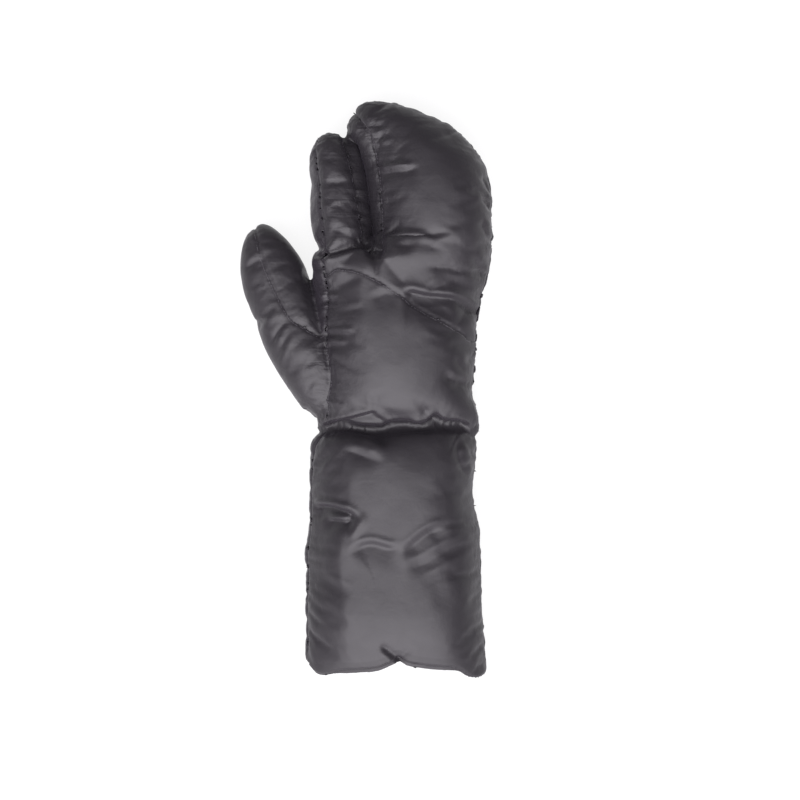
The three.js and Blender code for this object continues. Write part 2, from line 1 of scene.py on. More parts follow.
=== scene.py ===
"""Looks of a down-filled lobster claw mitt that lies palm down on a pale surface.

The whole shell is worked out as one padded skin: three closed tubes, for the hand with its pouch, for the index finger
and for the thumb, are joined into one even mesh, its points beside a seam are laid onto the seam, it is blown up as
cloth that its seams hold, and the folds and puckers of the real one are drawn into it. The skin is then cut along its
seams into the ten sewn panels, each with its padded wall behind it, and rows of stitches are laid beside its seams.

Sizes are in millimetres while the skin is worked out. There x = 0 is the middle of the hand and y = 0 the wrist seam.
"""

import logging
import math
from collections.abc import Callable
from dataclasses import astuple, dataclass, field
from enum import Enum
from typing import NamedTuple

import bpy
import numpy as np
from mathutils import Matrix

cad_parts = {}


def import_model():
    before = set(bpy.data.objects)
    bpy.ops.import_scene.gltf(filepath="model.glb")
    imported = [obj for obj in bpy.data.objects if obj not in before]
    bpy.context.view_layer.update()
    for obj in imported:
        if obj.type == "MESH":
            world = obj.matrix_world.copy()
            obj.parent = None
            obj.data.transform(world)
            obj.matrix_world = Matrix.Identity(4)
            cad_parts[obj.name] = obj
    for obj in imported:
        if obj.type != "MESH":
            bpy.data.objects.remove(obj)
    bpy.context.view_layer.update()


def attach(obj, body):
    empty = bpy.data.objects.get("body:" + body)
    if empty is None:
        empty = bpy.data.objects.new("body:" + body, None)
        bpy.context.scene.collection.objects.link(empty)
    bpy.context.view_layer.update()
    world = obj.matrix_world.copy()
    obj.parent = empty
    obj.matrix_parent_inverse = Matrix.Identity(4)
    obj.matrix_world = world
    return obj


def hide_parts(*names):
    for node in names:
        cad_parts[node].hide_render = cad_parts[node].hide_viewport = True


LOG = logging.getLogger("mitt")
MILLIMETRE = 0.001
MIDDLE = np.array([19.9, -27.7, 0.0])  # from the hand's middle at the wrist seam to the row frame's origin, in mm


# Numbers


def smoothstep(low: float, high: float, value: np.ndarray) -> np.ndarray:
    """Rises smoothly from 0 at low to 1 at high, as 3t^2 - 2t^3."""
    t = np.clip((value - low) / (high - low), 0.0, 1.0)
    return t * t * (3.0 - 2.0 * t)


def lattice_noise(points: np.ndarray, seed: int) -> np.ndarray:
    """Smooth noise from random numbers on a whole-number lattice, blended between corners by 3t^2 - 2t^3.

    Args:
        points: One place a row, in lattice steps, with two or three columns.
        seed: Picks the random numbers.

    Returns:
        One value a row, between -1 and 1.
    """
    size, axes = 32, points.shape[1]
    table = np.random.default_rng(seed).uniform(-1.0, 1.0, (size,) * axes)
    whole = np.floor(points).astype(int)
    part = points - whole
    part = part * part * (3.0 - 2.0 * part)
    total = np.zeros(len(points))
    for corner in range(2**axes):
        step = np.array([(corner >> axis) & 1 for axis in range(axes)])
        weight = np.prod(np.where(step == 1, part, 1.0 - part), axis=1)
        total += weight * table[tuple(((whole + step) % size).T)]
    return total


def soft_waves(points: np.ndarray, length: float, seed: int) -> np.ndarray:
    """Broad smooth unevenness: the mean of 12 sines along random ways, 0.7 to 1.4 times the length long, times 2.

    Args:
        points: One place a row.
        length: The mean distance between crests.
        seed: Picks the ways, lengths and phases.

    Returns:
        One value a row, mostly between -1 and 1.
    """
    random = np.random.default_rng(seed)
    ways = random.normal(size=(12, points.shape[1]))
    ways *= 2 * math.pi / (length * random.uniform(0.7, 1.4, 12) * np.linalg.norm(ways, axis=1))[:, None]
    return 2.0 * np.sin(points @ ways.T + random.uniform(0.0, 2 * math.pi, 12)).mean(axis=1)


def follow(table: np.ndarray, at: np.ndarray) -> np.ndarray:
    """Columns of a table at given places, on a monotone cubic that never overshoots.

    Args:
        table: Rows in rising order of their first column.
        at: Values of the first column to read the others at.

    Returns:
        One row for each place, with the table's other columns.
    """
    x, values = table[:, 0], table[:, 1:]
    slope = np.diff(values, axis=0) / np.diff(x)[:, None]
    before, after = slope[:-1], slope[1:]
    same = before * after > 0
    mean = np.where(same, 2.0 * before * after / np.where(same, before + after, 1.0), 0.0)
    tangent = np.vstack([slope[:1], mean, slope[-1:]])
    i = np.clip(np.searchsorted(x, at, side="right") - 1, 0, len(x) - 2)
    span = (x[i + 1] - x[i])[:, None]
    t = np.clip((at - x[i])[:, None] / span, 0.0, 1.0)
    return (
        values[i] * (2 * t**3 - 3 * t**2 + 1)
        + values[i + 1] * (3 * t**2 - 2 * t**3)
        + tangent[i] * span * (t**3 - 2 * t**2 + t)
        + tangent[i + 1] * span * (t**3 - t**2)
    )


@dataclass(frozen=True)
class Line:
    """A smooth line through points seen from above, in millimetres."""

    points: tuple[tuple[float, float], ...]
    step: float = 1.5

    def dense(self) -> np.ndarray:
        """Points close together on the curve that passes each given point along its neighbours' chord."""
        p = np.array(self.points)
        if len(p) == 2:
            return p
        ends = np.vstack([2 * p[0] - p[1], p, 2 * p[-1] - p[-2]])
        parts = []
        for a, b, c, d in zip(ends[:-3], ends[1:-2], ends[2:-1], ends[3:]):
            count = max(2, int(np.linalg.norm(c - b) / self.step))
            t = np.linspace(0.0, 1.0, count, endpoint=False)[:, None]
            cubic = 2 * b + (c - a) * t + (2 * a - 5 * b + 4 * c - d) * t**2 + (3 * b - a - 3 * c + d) * t**3
            parts.append(0.5 * cubic)
        return np.vstack([*parts, p[-1:]])

    def measure(self, places: np.ndarray) -> tuple[np.ndarray, np.ndarray, float]:
        """How places lie beside the line.

        Args:
            places: Points seen from above, one a row.

        Returns:
            The signed distance of each, positive on the line's left, how far along the line its nearest point is,
            and the line's whole length.
        """
        line = self.dense()
        a, run = line[:-1], np.diff(line, axis=0)
        length = np.linalg.norm(run, axis=1)
        start = np.concatenate([[0.0], np.cumsum(length)])
        best = np.full(len(places), np.inf)
        side, along = np.zeros(len(places)), np.zeros(len(places))
        for k in range(len(run)):
            offset = places - a[k]
            t = np.clip(offset @ run[k] / length[k] ** 2, 0.0, 1.0)
            away = offset - t[:, None] * run[k]
            distance = np.hypot(away[:, 0], away[:, 1])
            nearer = distance < best
            cross = run[k][0] * offset[:, 1] - run[k][1] * offset[:, 0]
            best = np.where(nearer, distance, best)
            side = np.where(nearer, np.where(cross < 0, -1.0, 1.0), side)
            along = np.where(nearer, start[k] + t * length[k], along)
        return best * side, along, float(start[-1])

    def y_at(self, x: np.ndarray) -> np.ndarray:
        """The line's y at given x, for a line that runs from left to right."""
        line = self.dense()
        return np.interp(x, line[:, 0], line[:, 1])

    def x_at(self, y: np.ndarray) -> np.ndarray:
        """The line's x at given y, for a line that runs up or down."""
        line = self.dense()
        order = np.argsort(line[:, 1])
        return np.interp(y, line[order, 1], line[order, 0])


# Meshes


def make_object(name: str, vertices: np.ndarray, faces: np.ndarray) -> bpy.types.Object:
    """Puts arrays into a new, smoothly shaded mesh object at the origin.

    Args:
        name: The piece's name.
        vertices: Points in the row frame, in metres.
        faces: Vertex numbers, one face a row, three or four columns; -1 ends a shorter face.

    Returns:
        The linked object.
    """
    mesh = bpy.data.meshes.new(name)
    used = faces >= 0
    counts = used.sum(axis=1).astype(np.int32)
    mesh.vertices.add(len(vertices))
    mesh.vertices.foreach_set("co", vertices.astype(np.float32).ravel())
    mesh.loops.add(int(counts.sum()))
    mesh.loops.foreach_set("vertex_index", faces[used].astype(np.int32))
    mesh.polygons.add(len(faces))
    starts = np.concatenate([[0], np.cumsum(counts)[:-1]]).astype(np.int32)
    mesh.polygons.foreach_set("loop_start", starts)
    mesh.polygons.foreach_set("use_smooth", np.ones(len(faces), bool))
    mesh.update(calc_edges=True)
    mesh.validate()
    item = bpy.data.objects.new(name, mesh)
    bpy.context.scene.collection.objects.link(item)
    return item


def read_vertices(mesh: bpy.types.Mesh) -> np.ndarray:
    """A mesh's points, one a row."""
    flat = np.empty(len(mesh.vertices) * 3, np.float32)
    mesh.vertices.foreach_get("co", flat)
    return flat.reshape(-1, 3).astype(float)


def read_quads(mesh: bpy.types.Mesh) -> np.ndarray:
    """Vertex numbers of a mesh of quads, one face a row; a triangle's fourth number is -1."""
    loops = np.empty(len(mesh.loops), np.int32)
    mesh.loops.foreach_get("vertex_index", loops)
    start = np.empty(len(mesh.polygons), np.int32)
    total = np.empty(len(mesh.polygons), np.int32)
    mesh.polygons.foreach_get("loop_start", start)
    mesh.polygons.foreach_get("loop_total", total)
    faces = np.full((len(start), 4), -1)
    for k in range(4):
        has = total > k
        faces[has, k] = loops[start[has] + k]
    return faces


def apply_modifiers(item: bpy.types.Object) -> None:
    """Replaces an object's mesh by what its modifiers make of it, and removes them."""
    bpy.context.view_layer.update()
    evaluated = item.evaluated_get(bpy.context.evaluated_depsgraph_get())
    mesh = bpy.data.meshes.new_from_object(evaluated)
    old = item.data
    item.modifiers.clear()
    item.data = mesh
    bpy.data.meshes.remove(old)


def discard(item: bpy.types.Object) -> None:
    """Removes a helper object and its mesh."""
    mesh = item.data
    bpy.data.objects.remove(item)
    bpy.data.meshes.remove(mesh)


def face_normals(points: np.ndarray, faces: np.ndarray) -> np.ndarray:
    """Area-weighted normals: half the cross product of a face's two diagonals, or of two sides of a triangle."""
    corner = points[np.where(faces < 0, faces[:, :1], faces)]
    return 0.5 * np.cross(corner[:, 2] - corner[:, 0], corner[:, 3] - corner[:, 1])


def vertex_normals(points: np.ndarray, faces: np.ndarray) -> np.ndarray:
    """Unit normals of the points, each the sum of its faces' normals."""
    normals = face_normals(points, faces)
    total = np.zeros_like(points)
    for k in range(4):
        has = faces[:, k] >= 0
        for axis in range(3):
            total[:, axis] += np.bincount(faces[has, k], normals[has, axis], len(points))
    return total / np.maximum(np.linalg.norm(total, axis=1, keepdims=True), 1e-12)


def face_edges(faces: np.ndarray) -> np.ndarray:
    """Each face's directed edges, one a row: from, to."""
    following = np.roll(faces, -1, axis=1)
    last = (faces[:, 3] < 0)[:, None] & (np.arange(4) == 2)[None, :]
    following = np.where(last, faces[:, :1], following)
    pairs = np.stack([faces, following], axis=2).reshape(-1, 2)
    return pairs[(pairs >= 0).all(axis=1)]


def smoothed(points: np.ndarray, faces: np.ndarray, rounds: int, share: float = 0.5) -> np.ndarray:
    """Moves each point a share of the way to the mean of its neighbours, a number of times."""
    edges = face_edges(faces)
    pairs = np.vstack([edges, edges[:, ::-1]])
    count = np.maximum(np.bincount(pairs[:, 0], minlength=len(points)), 1)[:, None]
    for _ in range(rounds):
        total = np.stack(
            [np.bincount(pairs[:, 0], column[pairs[:, 1]], len(points)) for column in points.T], axis=1
        )
        points = points + share * (total / count - points)
    return points


# The mitt's form


class Row(NamedTuple):
    """A tube's section at y: its left, right, lowest and highest edges and its wall's thickness, in mm."""

    y: float
    left: float
    right: float
    low: float
    high: float
    wall: float


@dataclass(frozen=True)
class PaddedTube:
    """A closed tube along Y whose sections are rounded rectangles, in a frame turned and placed on the hand."""

    rows: tuple[Row, ...]
    turn: float = 0.0
    base: tuple[float, float] = (0.0, 0.0)
    upper: float = 0.9
    lower: float = 0.9

    def section(self, y: np.ndarray) -> np.ndarray:
        """Left, right, low, high and wall at each y."""
        return follow(np.array(self.rows), y)

    def to_own(self, points: np.ndarray) -> np.ndarray:
        """Points of the hand's frame in the tube's own frame."""
        c, s = math.cos(self.turn), math.sin(self.turn)
        x, y = points[:, 0] - self.base[0], points[:, 1] - self.base[1]
        return np.stack([c * x + s * y, -s * x + c * y, points[:, 2]], axis=1)

    def to_hand(self, points: np.ndarray) -> np.ndarray:
        """Points of the tube's own frame in the hand's frame."""
        c, s = math.cos(self.turn), math.sin(self.turn)
        x, y = points[:, 0], points[:, 1]
        return np.stack([self.base[0] + c * x - s * y, self.base[1] + s * x + c * y, points[:, 2]], axis=1)

    def level(self, points: np.ndarray) -> np.ndarray:
        """How far outside the tube points lie, in mm, by the section's own formula: less than 0 is inside.

        With p = 2 / exponent, the section is where |x / half width|^p + |z / half height|^p is 1; the distance is
        taken as the p-th root of that sum less 1, times the half height. Past the tube's ends it grows with y.
        """
        own = self.to_own(points)
        left, right, low, high, _ = self.section(own[:, 1]).T
        across = np.abs(own[:, 0] - (left + right) / 2) / ((right - left) / 2)
        upward = own[:, 2] - (low + high) / 2
        power = np.where(upward > 0, 2 / self.upper, 2 / self.lower)
        height = (high - low) / 2
        root = (across**power + np.abs(upward / height) ** power) ** (1 / power)
        past = np.maximum(self.rows[0].y - own[:, 1], own[:, 1] - self.rows[-1].y)
        return (root - 1) * height + np.maximum(past, 0.0)

    def mesh(self, sides: int, spacing: float, inset: bool = False) -> tuple[np.ndarray, np.ndarray]:
        """The tube's surface, or that of the hollow one wall inside it.

        The point at angle a of a section is its centre plus its half width times sign(cos a) |cos a|^e and its half
        height times sign(sin a) |sin a|^e, with the upper or the lower exponent e. Each end is closed by a fan.

        Args:
            sides: Points around a section.
            spacing: Distance between sections.
            inset: Whether the hollow is wanted.

        Returns:
            Points in the hand's frame and the faces between them.
        """
        first, last = self.rows[0], self.rows[-1]
        end = last.y - (last.wall if inset else 0.0)
        y = np.linspace(first.y, end, int((end - first.y) / spacing) + 2)
        left, right, low, high, wall = self.section(y).T
        if inset:
            steps = np.linspace(-1.0, 1.0, 9)
            near = [self.section(y + s * wall) for s in steps]
            depth = [wall * math.sqrt(1 - s * s) for s in steps]
            left = np.max([n[:, 0] + d for n, d in zip(near, depth)], axis=0)
            right = np.min([n[:, 1] - d for n, d in zip(near, depth)], axis=0)
            low = np.max([np.maximum(n[:, 2], 0.0) + d for n, d in zip(near, depth)], axis=0)
            high = np.min([n[:, 3] - d for n, d in zip(near, depth)], axis=0)
            room = (right - left > 3.0) & (high - low > 3.0)
            y, left, right, low, high = (column[room] for column in (y, left, right, low, high))
        angle = 2 * math.pi * (np.arange(sides) + 0.5) / sides
        c, s = np.cos(angle), np.sin(angle)
        exponent = np.where(s > 0, self.upper, self.lower)
        shape_x, shape_z = np.sign(c) * np.abs(c) ** exponent, np.sign(s) * np.abs(s) ** exponent
        x = ((left + right) / 2)[:, None] + ((right - left) / 2)[:, None] * shape_x
        z = np.maximum(((low + high) / 2)[:, None] + ((high - low) / 2)[:, None] * shape_z, 0.0)
        rings = np.stack([x, np.broadcast_to(y[:, None], x.shape), z], axis=2)
        caps = np.stack([rings[0].mean(axis=0), rings[-1].mean(axis=0)])
        points = np.vstack([rings.reshape(-1, 3), caps])
        k, following = np.arange(sides), (np.arange(sides) + 1) % sides
        ring = (np.arange(len(y) - 1) * sides)[:, None]
        around = np.stack([ring + k, ring + k + sides, ring + following + sides, ring + following], axis=2)
        top = (len(y) - 1) * sides
        none = np.full(sides, -1)
        near_cap = np.stack([k, following, np.full(sides, len(points) - 2), none], axis=1)
        far_cap = np.stack([top + following, top + k, np.full(sides, len(points) - 1), none], axis=1)
        return self.to_hand(points), np.vstack([around.reshape(-1, 4), near_cap, far_cap])


HAND = PaddedTube(
    rows=(
        Row(-180.0, -50.0, 55.0, 0.0, 39.6, 6),
        Row(-174.0, -55.0, 59.5, -2.0, 44.0, 6),
        Row(-163.0, -59.6, 61.6, -4.0, 49.6, 7),
        Row(-149.5, -61.2, 61.4, -4.0, 55.0, 11),
        Row(-121.0, -61.6, 59.8, -4.0, 60.0, 11),
        Row(-97.4, -61.0, 59.2, -4.0, 59.4, 11),
        Row(-87.4, -62.0, 58.9, -4.0, 59.4, 11),
        Row(-70.6, -59.8, 58.3, -4.0, 60.0, 11),
        Row(-53.8, -58.9, 54.9, -4.0, 60.0, 11),
        Row(-42.0, -58.9, 53.5, -4.0, 59.8, 11),
        Row(-26.9, -58.3, 54.9, -4.0, 59.0, 11),
        Row(-11.8, -57.4, 55.5, -4.0, 56.0, 11),
        Row(0.0, -55.0, 57.0, -4.0, 52.0, 10),
        Row(8.8, -53.5, 56.0, -4.0, 57.0, 10),
        Row(25.0, -51.5, 52.6, -4.0, 60.8, 10),
        Row(42.5, -52.5, 54.3, -4.0, 62.0, 10),
        Row(68.8, -54.6, 55.6, -4.0, 60.8, 10),
        Row(87.5, -55.6, 58.6, -4.0, 58.3, 10),
        Row(102.5, -55.8, 63.3, -4.0, 58.3, 10),
        Row(113.8, -53.0, 65.4, -4.0, 59.5, 10),
        Row(121.9, -39.3, 66.0, -4.0, 59.5, 10),
        Row(126.9, -18.7, 66.0, -4.0, 59.5, 10),
        Row(134.8, -13.6, 65.6, -4.0, 59.6, 9),
        Row(154.4, -16.6, 65.6, -4.0, 58.6, 9),
        Row(168.1, -18.2, 63.6, -4.0, 56.4, 9),
        Row(181.8, -21.0, 59.2, -4.0, 53.0, 9),
        Row(192.6, -27.6, 51.1, -3.4, 49.2, 9),
        Row(203.4, -33.8, 40.2, -1.5, 44.6, 9),
        Row(213.2, -30.2, 21.7, 2.2, 39.0, 9),
        Row(219.1, -26.6, 5.6, 7.4, 33.0, 9),
        Row(223.0, -20.1, -10.5, 15.0, 25.0, 9),
    )
)
INDEX = PaddedTube(
    rows=(
        Row(82.4, -45.2, -21.9, 9.0, 46.5, 8),
        Row(102.2, -53.8, -17.9, 5.5, 53.0, 8),
        Row(114.4, -55.4, -17.4, 3.0, 54.0, 8),
        Row(126.5, -53.6, -18.4, 2.0, 54.0, 8),
        Row(137.2, -54.6, -19.4, 4.0, 52.6, 8),
        Row(149.3, -56.2, -21.0, 4.0, 50.8, 8),
        Row(164.5, -56.0, -23.8, 4.0, 48.0, 8),
        Row(178.2, -57.3, -26.4, 4.0, 44.6, 8),
        Row(188.8, -57.0, -30.0, 6.0, 40.4, 8),
        Row(195.7, -55.0, -33.4, 10.0, 36.4, 8),
        Row(199.5, -51.1, -37.8, 15.5, 31.6, 8),
        Row(201.0, -46.0, -41.4, 20.5, 26.8, 8),
    )
)
THUMB = PaddedTube(
    rows=(
        Row(0.0, -13.0, 20.0, -4.0, 40.0, 8),
        Row(30.0, -20.4, 24.0, -4.0, 49.0, 8),
        Row(63.2, -25.0, 22.1, -4.0, 46.5, 8),
        Row(92.0, -24.1, 18.9, -4.0, 42.0, 8),
        Row(117.6, -19.1, 14.3, -2.3, 37.8, 8),
        Row(132.0, -12.6, 9.7, 1.9, 31.9, 8),
        Row(137.6, -7.6, 6.3, 6.9, 25.2, 8),
        Row(140.0, -3.4, 3.4, 12.0, 21.0, 8),
    ),
    turn=math.radians(22.5),
    base=(-41.0, 8.75),
)


class Panel(Enum):
    """The sewn panels, by the number that marks their faces on the skin. No piece is made of what is cut off."""

    cuff_hem = 0
    gauntlet_back = 1
    gauntlet_palm = 2
    hand_back = 3
    finger_back = 4
    palm = 5
    finger_gusset = 6
    thumb_outer = 7
    thumb_inner = 8
    index_palm = 9
    cut_off = 10


@dataclass(frozen=True)
class SeamPlan:
    """Where the seams run: lines seen from above and the height of the side seams."""

    hem_edge: Line = Line(
        (
            (-90.0, -158.0), (-62.0, -158.6), (-59.0, -161.5), (-54.2, -165.2), (-47.4, -165.4), (-38.0, -162.2),
            (-14.2, -159.6), (-6.0, -156.5), (1.5, -152.6), (8.0, -155.2), (23.0, -158.0), (40.0, -160.0),
            (47.0, -164.6), (54.0, -168.2), (61.0, -167.0), (66.0, -160.0), (90.0, -158.0),
        )
    )
    hem_width: float = 9.0
    wrist: Line = Line(
        (
            (-90.0, -1.0), (-55.5, -2.0), (-44.7, 0.0), (-30.5, 0.2), (-20.3, -0.3), (-9.5, 0.0), (-3.4, 2.7),
            (7.4, 3.4), (12.9, 1.6), (20.3, 2.8), (25.7, 6.6), (32.5, 4.1), (44.7, 2.7), (51.5, -3.0), (60.0, -7.0),
            (90.0, -8.0),
        )
    )
    knuckle: Line = Line(
        (
            (-90.0, 98.0), (-48.7, 102.6), (-42.0, 105.0), (-35.9, 106.4), (-23.7, 103.1), (-9.7, 96.6), (2.4, 89.0),
            (21.3, 76.7), (40.3, 67.0), (48.7, 62.4), (54.0, 58.8), (90.0, 50.0),
        )
    )
    pouch_side: Line = Line(
        ((-15.5, 119.0), (-10.8, 128.0), (-11.5, 154.4), (-13.3, 174.0), (-18.9, 198.0), (-29.0, 214.5), (-38.0, 232.0))
    )
    index_side: Line = Line(
        ((-17.5, 119.0), (-20.5, 128.0), (-24.2, 147.8), (-28.3, 170.6), (-33.4, 190.4), (-38.5, 210.0))
    )
    crotch: float = 121.5
    web: float = 63.0
    web_height: float = 24.0
    thumb_top: Line = Line(
        (
            (-3.2, 150.0), (-2.7, 141.1), (-2.6, 136.0), (-5.2, 117.3), (-5.1, 94.5), (-2.6, 72.2), (3.2, 63.2),
            (11.8, 52.3), (32.0, 30.0),
        )
    )
    bend: float = -16.0
    edges: tuple[float, float] = (-54.0, 54.0)
    side_heights: tuple[tuple[float, float, float, float], ...] = (
        (-184.8, 30.0, 25.2, 25.2),
        (-134.4, 31.0, 26.4, 26.4),
        (-20.2, 33.0, 26.4, 26.4),
        (0.0, 40.9, 26.0, 26.0),
        (17.5, 49.0, 26.0, 27.3),
        (68.0, 51.0, 26.0, 27.3),
        (112.0, 51.0, 26.0, 27.3),
        (154.4, 44.0, 26.0, 26.7),
        (178.9, 36.5, 24.8, 26.0),
        (191.6, 30.0, 24.2, 24.8),
        (203.4, 24.6, 22.6, 22.6),
        (227.9, 21.0, 20.5, 20.5),
    )

    def past_edge(self, p: np.ndarray) -> np.ndarray:
        """Distance along Y past the hem's edge, towards the fingers."""
        return p[:, 1] - self.hem_edge.y_at(p[:, 0])

    def past_hem(self, p: np.ndarray) -> np.ndarray:
        """Distance along Y past the hem's seam."""
        return self.past_edge(p) - self.hem_width

    def past_wrist(self, p: np.ndarray) -> np.ndarray:
        """Distance along Y past the wrist seam."""
        return p[:, 1] - self.wrist.y_at(p[:, 0])

    def past_knuckle(self, p: np.ndarray) -> np.ndarray:
        """Distance along Y past the knuckle seam."""
        return p[:, 1] - self.knuckle.y_at(p[:, 0])

    def above_sides(self, p: np.ndarray) -> np.ndarray:
        """Height over the side seams' surface, which is straight from its bend to each edge of the hand."""
        left, middle, right = follow(np.array(self.side_heights), p[:, 1]).T
        toward_left = (self.bend - p[:, 0]) / (self.bend - self.edges[0])
        toward_right = (p[:, 0] - self.bend) / (self.edges[1] - self.bend)
        height = np.where(
            toward_left > 0, middle + (left - middle) * toward_left, middle + (right - middle) * toward_right
        )
        return p[:, 2] - height

    def past_pouch_side(self, p: np.ndarray) -> np.ndarray:
        """Distance along X to the right of the pouch's side seam."""
        return p[:, 0] - self.pouch_side.x_at(p[:, 1])

    def past_index_side(self, p: np.ndarray) -> np.ndarray:
        """Distance along X to the right of the index finger's side seam."""
        return p[:, 0] - self.index_side.x_at(p[:, 1])

    def past_crotch(self, p: np.ndarray) -> np.ndarray:
        """Distance along Y past the crotch's seam."""
        return p[:, 1] - self.crotch

    def into_thumb(self, p: np.ndarray) -> np.ndarray:
        """How much further outside the hand and the index finger than outside the thumb a point lies."""
        return np.minimum(HAND.level(p), INDEX.level(p)) - THUMB.level(p)

    def beside_thumb(self, p: np.ndarray) -> np.ndarray:
        """Which places lie between the thumb and the side seam where the thumb's outer panel reaches that seam."""
        along = (p[:, 1] > self.wrist.y_at(p[:, 0])) & (p[:, 1] < self.web)
        return along & (self.above_sides(p) < 0) & (p[:, 0] < self.bend) & (p[:, 2] > self.web_height)

    def past_thumb_top(self, p: np.ndarray) -> np.ndarray:
        """Distance across the thumb to the right of its own seam."""
        own = THUMB.to_own(p)
        return own[:, 0] - self.thumb_top.x_at(own[:, 1])

    def panels(self, p: np.ndarray) -> np.ndarray:
        """The number of the panel that each place on the skin belongs to."""
        above = self.above_sides(p) > 0
        index = (self.past_crotch(p) > 0) & (self.past_index_side(p) < 0)
        panel = np.where(index, Panel.index_palm.value, Panel.palm.value)
        panel = np.where(above, Panel.finger_back.value, panel)
        panel = np.where(above & (self.past_knuckle(p) < 0), Panel.hand_back.value, panel)
        slot = (self.past_crotch(p) > 0) & (self.past_index_side(p) > 0) & (self.past_pouch_side(p) < 0)
        panel = np.where(slot, Panel.finger_gusset.value, panel)
        low = self.past_wrist(p) < 0
        panel = np.where(low & above, Panel.gauntlet_back.value, panel)
        panel = np.where(low & ~above, Panel.gauntlet_palm.value, panel)
        panel = np.where(self.past_hem(p) < 0, Panel.cuff_hem.value, panel)
        thumb = (self.into_thumb(p) > 0) | self.beside_thumb(p)
        right = (self.past_thumb_top(p) > 0) & ~self.beside_thumb(p)
        panel = np.where(thumb & right, Panel.thumb_inner.value, panel)
        panel = np.where(thumb & ~right, Panel.thumb_outer.value, panel)
        return np.where(self.past_edge(p) < 0, Panel.cut_off.value, panel)


@dataclass(frozen=True)
class Gather:
    """How a seam holds the shell down and gathers the cloth beside it.

    sink is how far the stitching draws the shell in and groove the half width of the stitched line. The puckers are
    height high, pitch apart along the seam and run out about reach from it. All in millimetres. streaks is the share
    of the finest creases, which the finish draws.
    """

    sink: float
    groove: float
    height: float
    pitch: float
    reach: float
    streaks: float = 0.0


PLAIN_SEAM = Gather(0.8, 1.5, 0.2, 5.0, 5.0)
GATHERS = {
    (Panel.gauntlet_back, Panel.hand_back): Gather(2.6, 1.6, 0.3, 7.0, 10.0),
    (Panel.gauntlet_palm, Panel.palm): Gather(3.0, 1.6, 0.6, 8.0, 10.0),
    (Panel.gauntlet_back, Panel.thumb_outer): Gather(3.0, 1.6, 0.5, 7.0, 9.0),
    (Panel.gauntlet_palm, Panel.thumb_outer): Gather(3.0, 1.6, 0.5, 7.0, 9.0),
    (Panel.gauntlet_back, Panel.gauntlet_palm): Gather(1.0, 1.4, 0.55, 5.0, 9.0, 0.5),
    (Panel.hand_back, Panel.palm): Gather(0.6, 1.4, 0.6, 4.6, 14.0, 1.0),
    (Panel.finger_back, Panel.palm): Gather(1.0, 1.4, 0.7, 5.0, 12.0, 0.9),
    (Panel.finger_back, Panel.index_palm): Gather(0.8, 1.4, 0.6, 4.6, 11.0, 1.0),
    (Panel.hand_back, Panel.finger_back): Gather(0.45, 1.3, 0.1, 5.0, 4.0),
    (Panel.finger_back, Panel.finger_gusset): Gather(1.0, 1.4, 0.6, 5.0, 14.0, 1.0),
    (Panel.palm, Panel.finger_gusset): Gather(1.2, 1.5, 0.4, 6.0, 8.0, 0.3),
    (Panel.finger_gusset, Panel.index_palm): Gather(1.2, 1.5, 0.4, 6.0, 8.0, 0.3),
    (Panel.thumb_outer, Panel.thumb_inner): Gather(0.7, 1.4, 0.3, 6.0, 8.0, 0.3),
    (Panel.hand_back, Panel.thumb_outer): Gather(0.7, 1.4, 0.5, 4.6, 14.0, 0.8),
    (Panel.palm, Panel.thumb_outer): Gather(1.0, 1.5, 0.4, 5.0, 6.0, 0.3),
    (Panel.hand_back, Panel.thumb_inner): Gather(1.0, 1.5, 0.4, 5.0, 6.0, 0.3),
    (Panel.palm, Panel.thumb_inner): Gather(1.0, 1.5, 0.3, 5.0, 6.0, 0.3),
    (Panel.cuff_hem, Panel.gauntlet_back): Gather(0.0, 1.4, 0.0, 12.0, 8.0),
    (Panel.cuff_hem, Panel.gauntlet_palm): Gather(0.0, 1.4, 0.0, 12.0, 8.0),
}


SUNK_POWER = 1.3  # how sharp a sunk fold's valley is
RAISED_POWER = 2.0  # how sharp a raised fold's crest is
LIP_OFF = 1.6  # from a fold's left edge to the crest of its lip, in mm
LIP_WIDTH = 2.4  # in mm
UNDERSIDE_FACING = -0.3  # folds end where the shell's normal turns further down than this


@dataclass(frozen=True)
class Fold:
    """A fold of the upper side along a line: it sinks where its height is below 0, and stands up elsewhere.

    left and right are its widths on the two sides of the line. A sunk fold is steep on its narrow side, and has a lip
    of its own height beyond its left side. All in millimetres.
    """

    places: tuple[tuple[float, float], ...]
    height: float
    left: float
    right: float
    taper: float
    lip: float = 0.0

    def rise(self, points: np.ndarray, facing: np.ndarray) -> np.ndarray:
        """How far the fold lifts each point.

        It is the height times exp(-(distance / width)^power), with a width for each side of the line and a power for
        sunk and for raised folds, plus lip exp(-((distance - left - lip's offset) / lip's width)^2) on the left, eased
        as 3t^2 - 2t^3 over the taper at both ends and where the shell turns under.

        Args:
            points: The skin's points.
            facing: How far each point's normal turns up, from -1 to 1.

        Returns:
            The lift of each point.
        """
        lift = np.zeros(len(points))
        reach = 3.0 * max(self.left, self.right)
        corners = np.array(self.places)
        low, high = corners.min(axis=0) - reach, corners.max(axis=0) + reach
        inside = ((points[:, :2] > low) & (points[:, :2] < high)).all(axis=1)
        near = np.flatnonzero(inside & (facing > UNDERSIDE_FACING))
        if len(near) == 0:
            return lift
        side, along, length = Line(self.places).measure(points[near, :2])
        power = SUNK_POWER if self.height < 0 else RAISED_POWER
        width = np.where(side > 0, self.left, self.right)
        shape = self.height * np.exp(-((np.abs(side) / width) ** power))
        shape += self.lip * np.exp(-(((side - self.left - LIP_OFF) / LIP_WIDTH) ** 2))
        ends = smoothstep(0, self.taper, along) * smoothstep(0, self.taper, length - along)
        lift[near] = shape * ends * smoothstep(UNDERSIDE_FACING, 0.2, facing[near])
        return lift


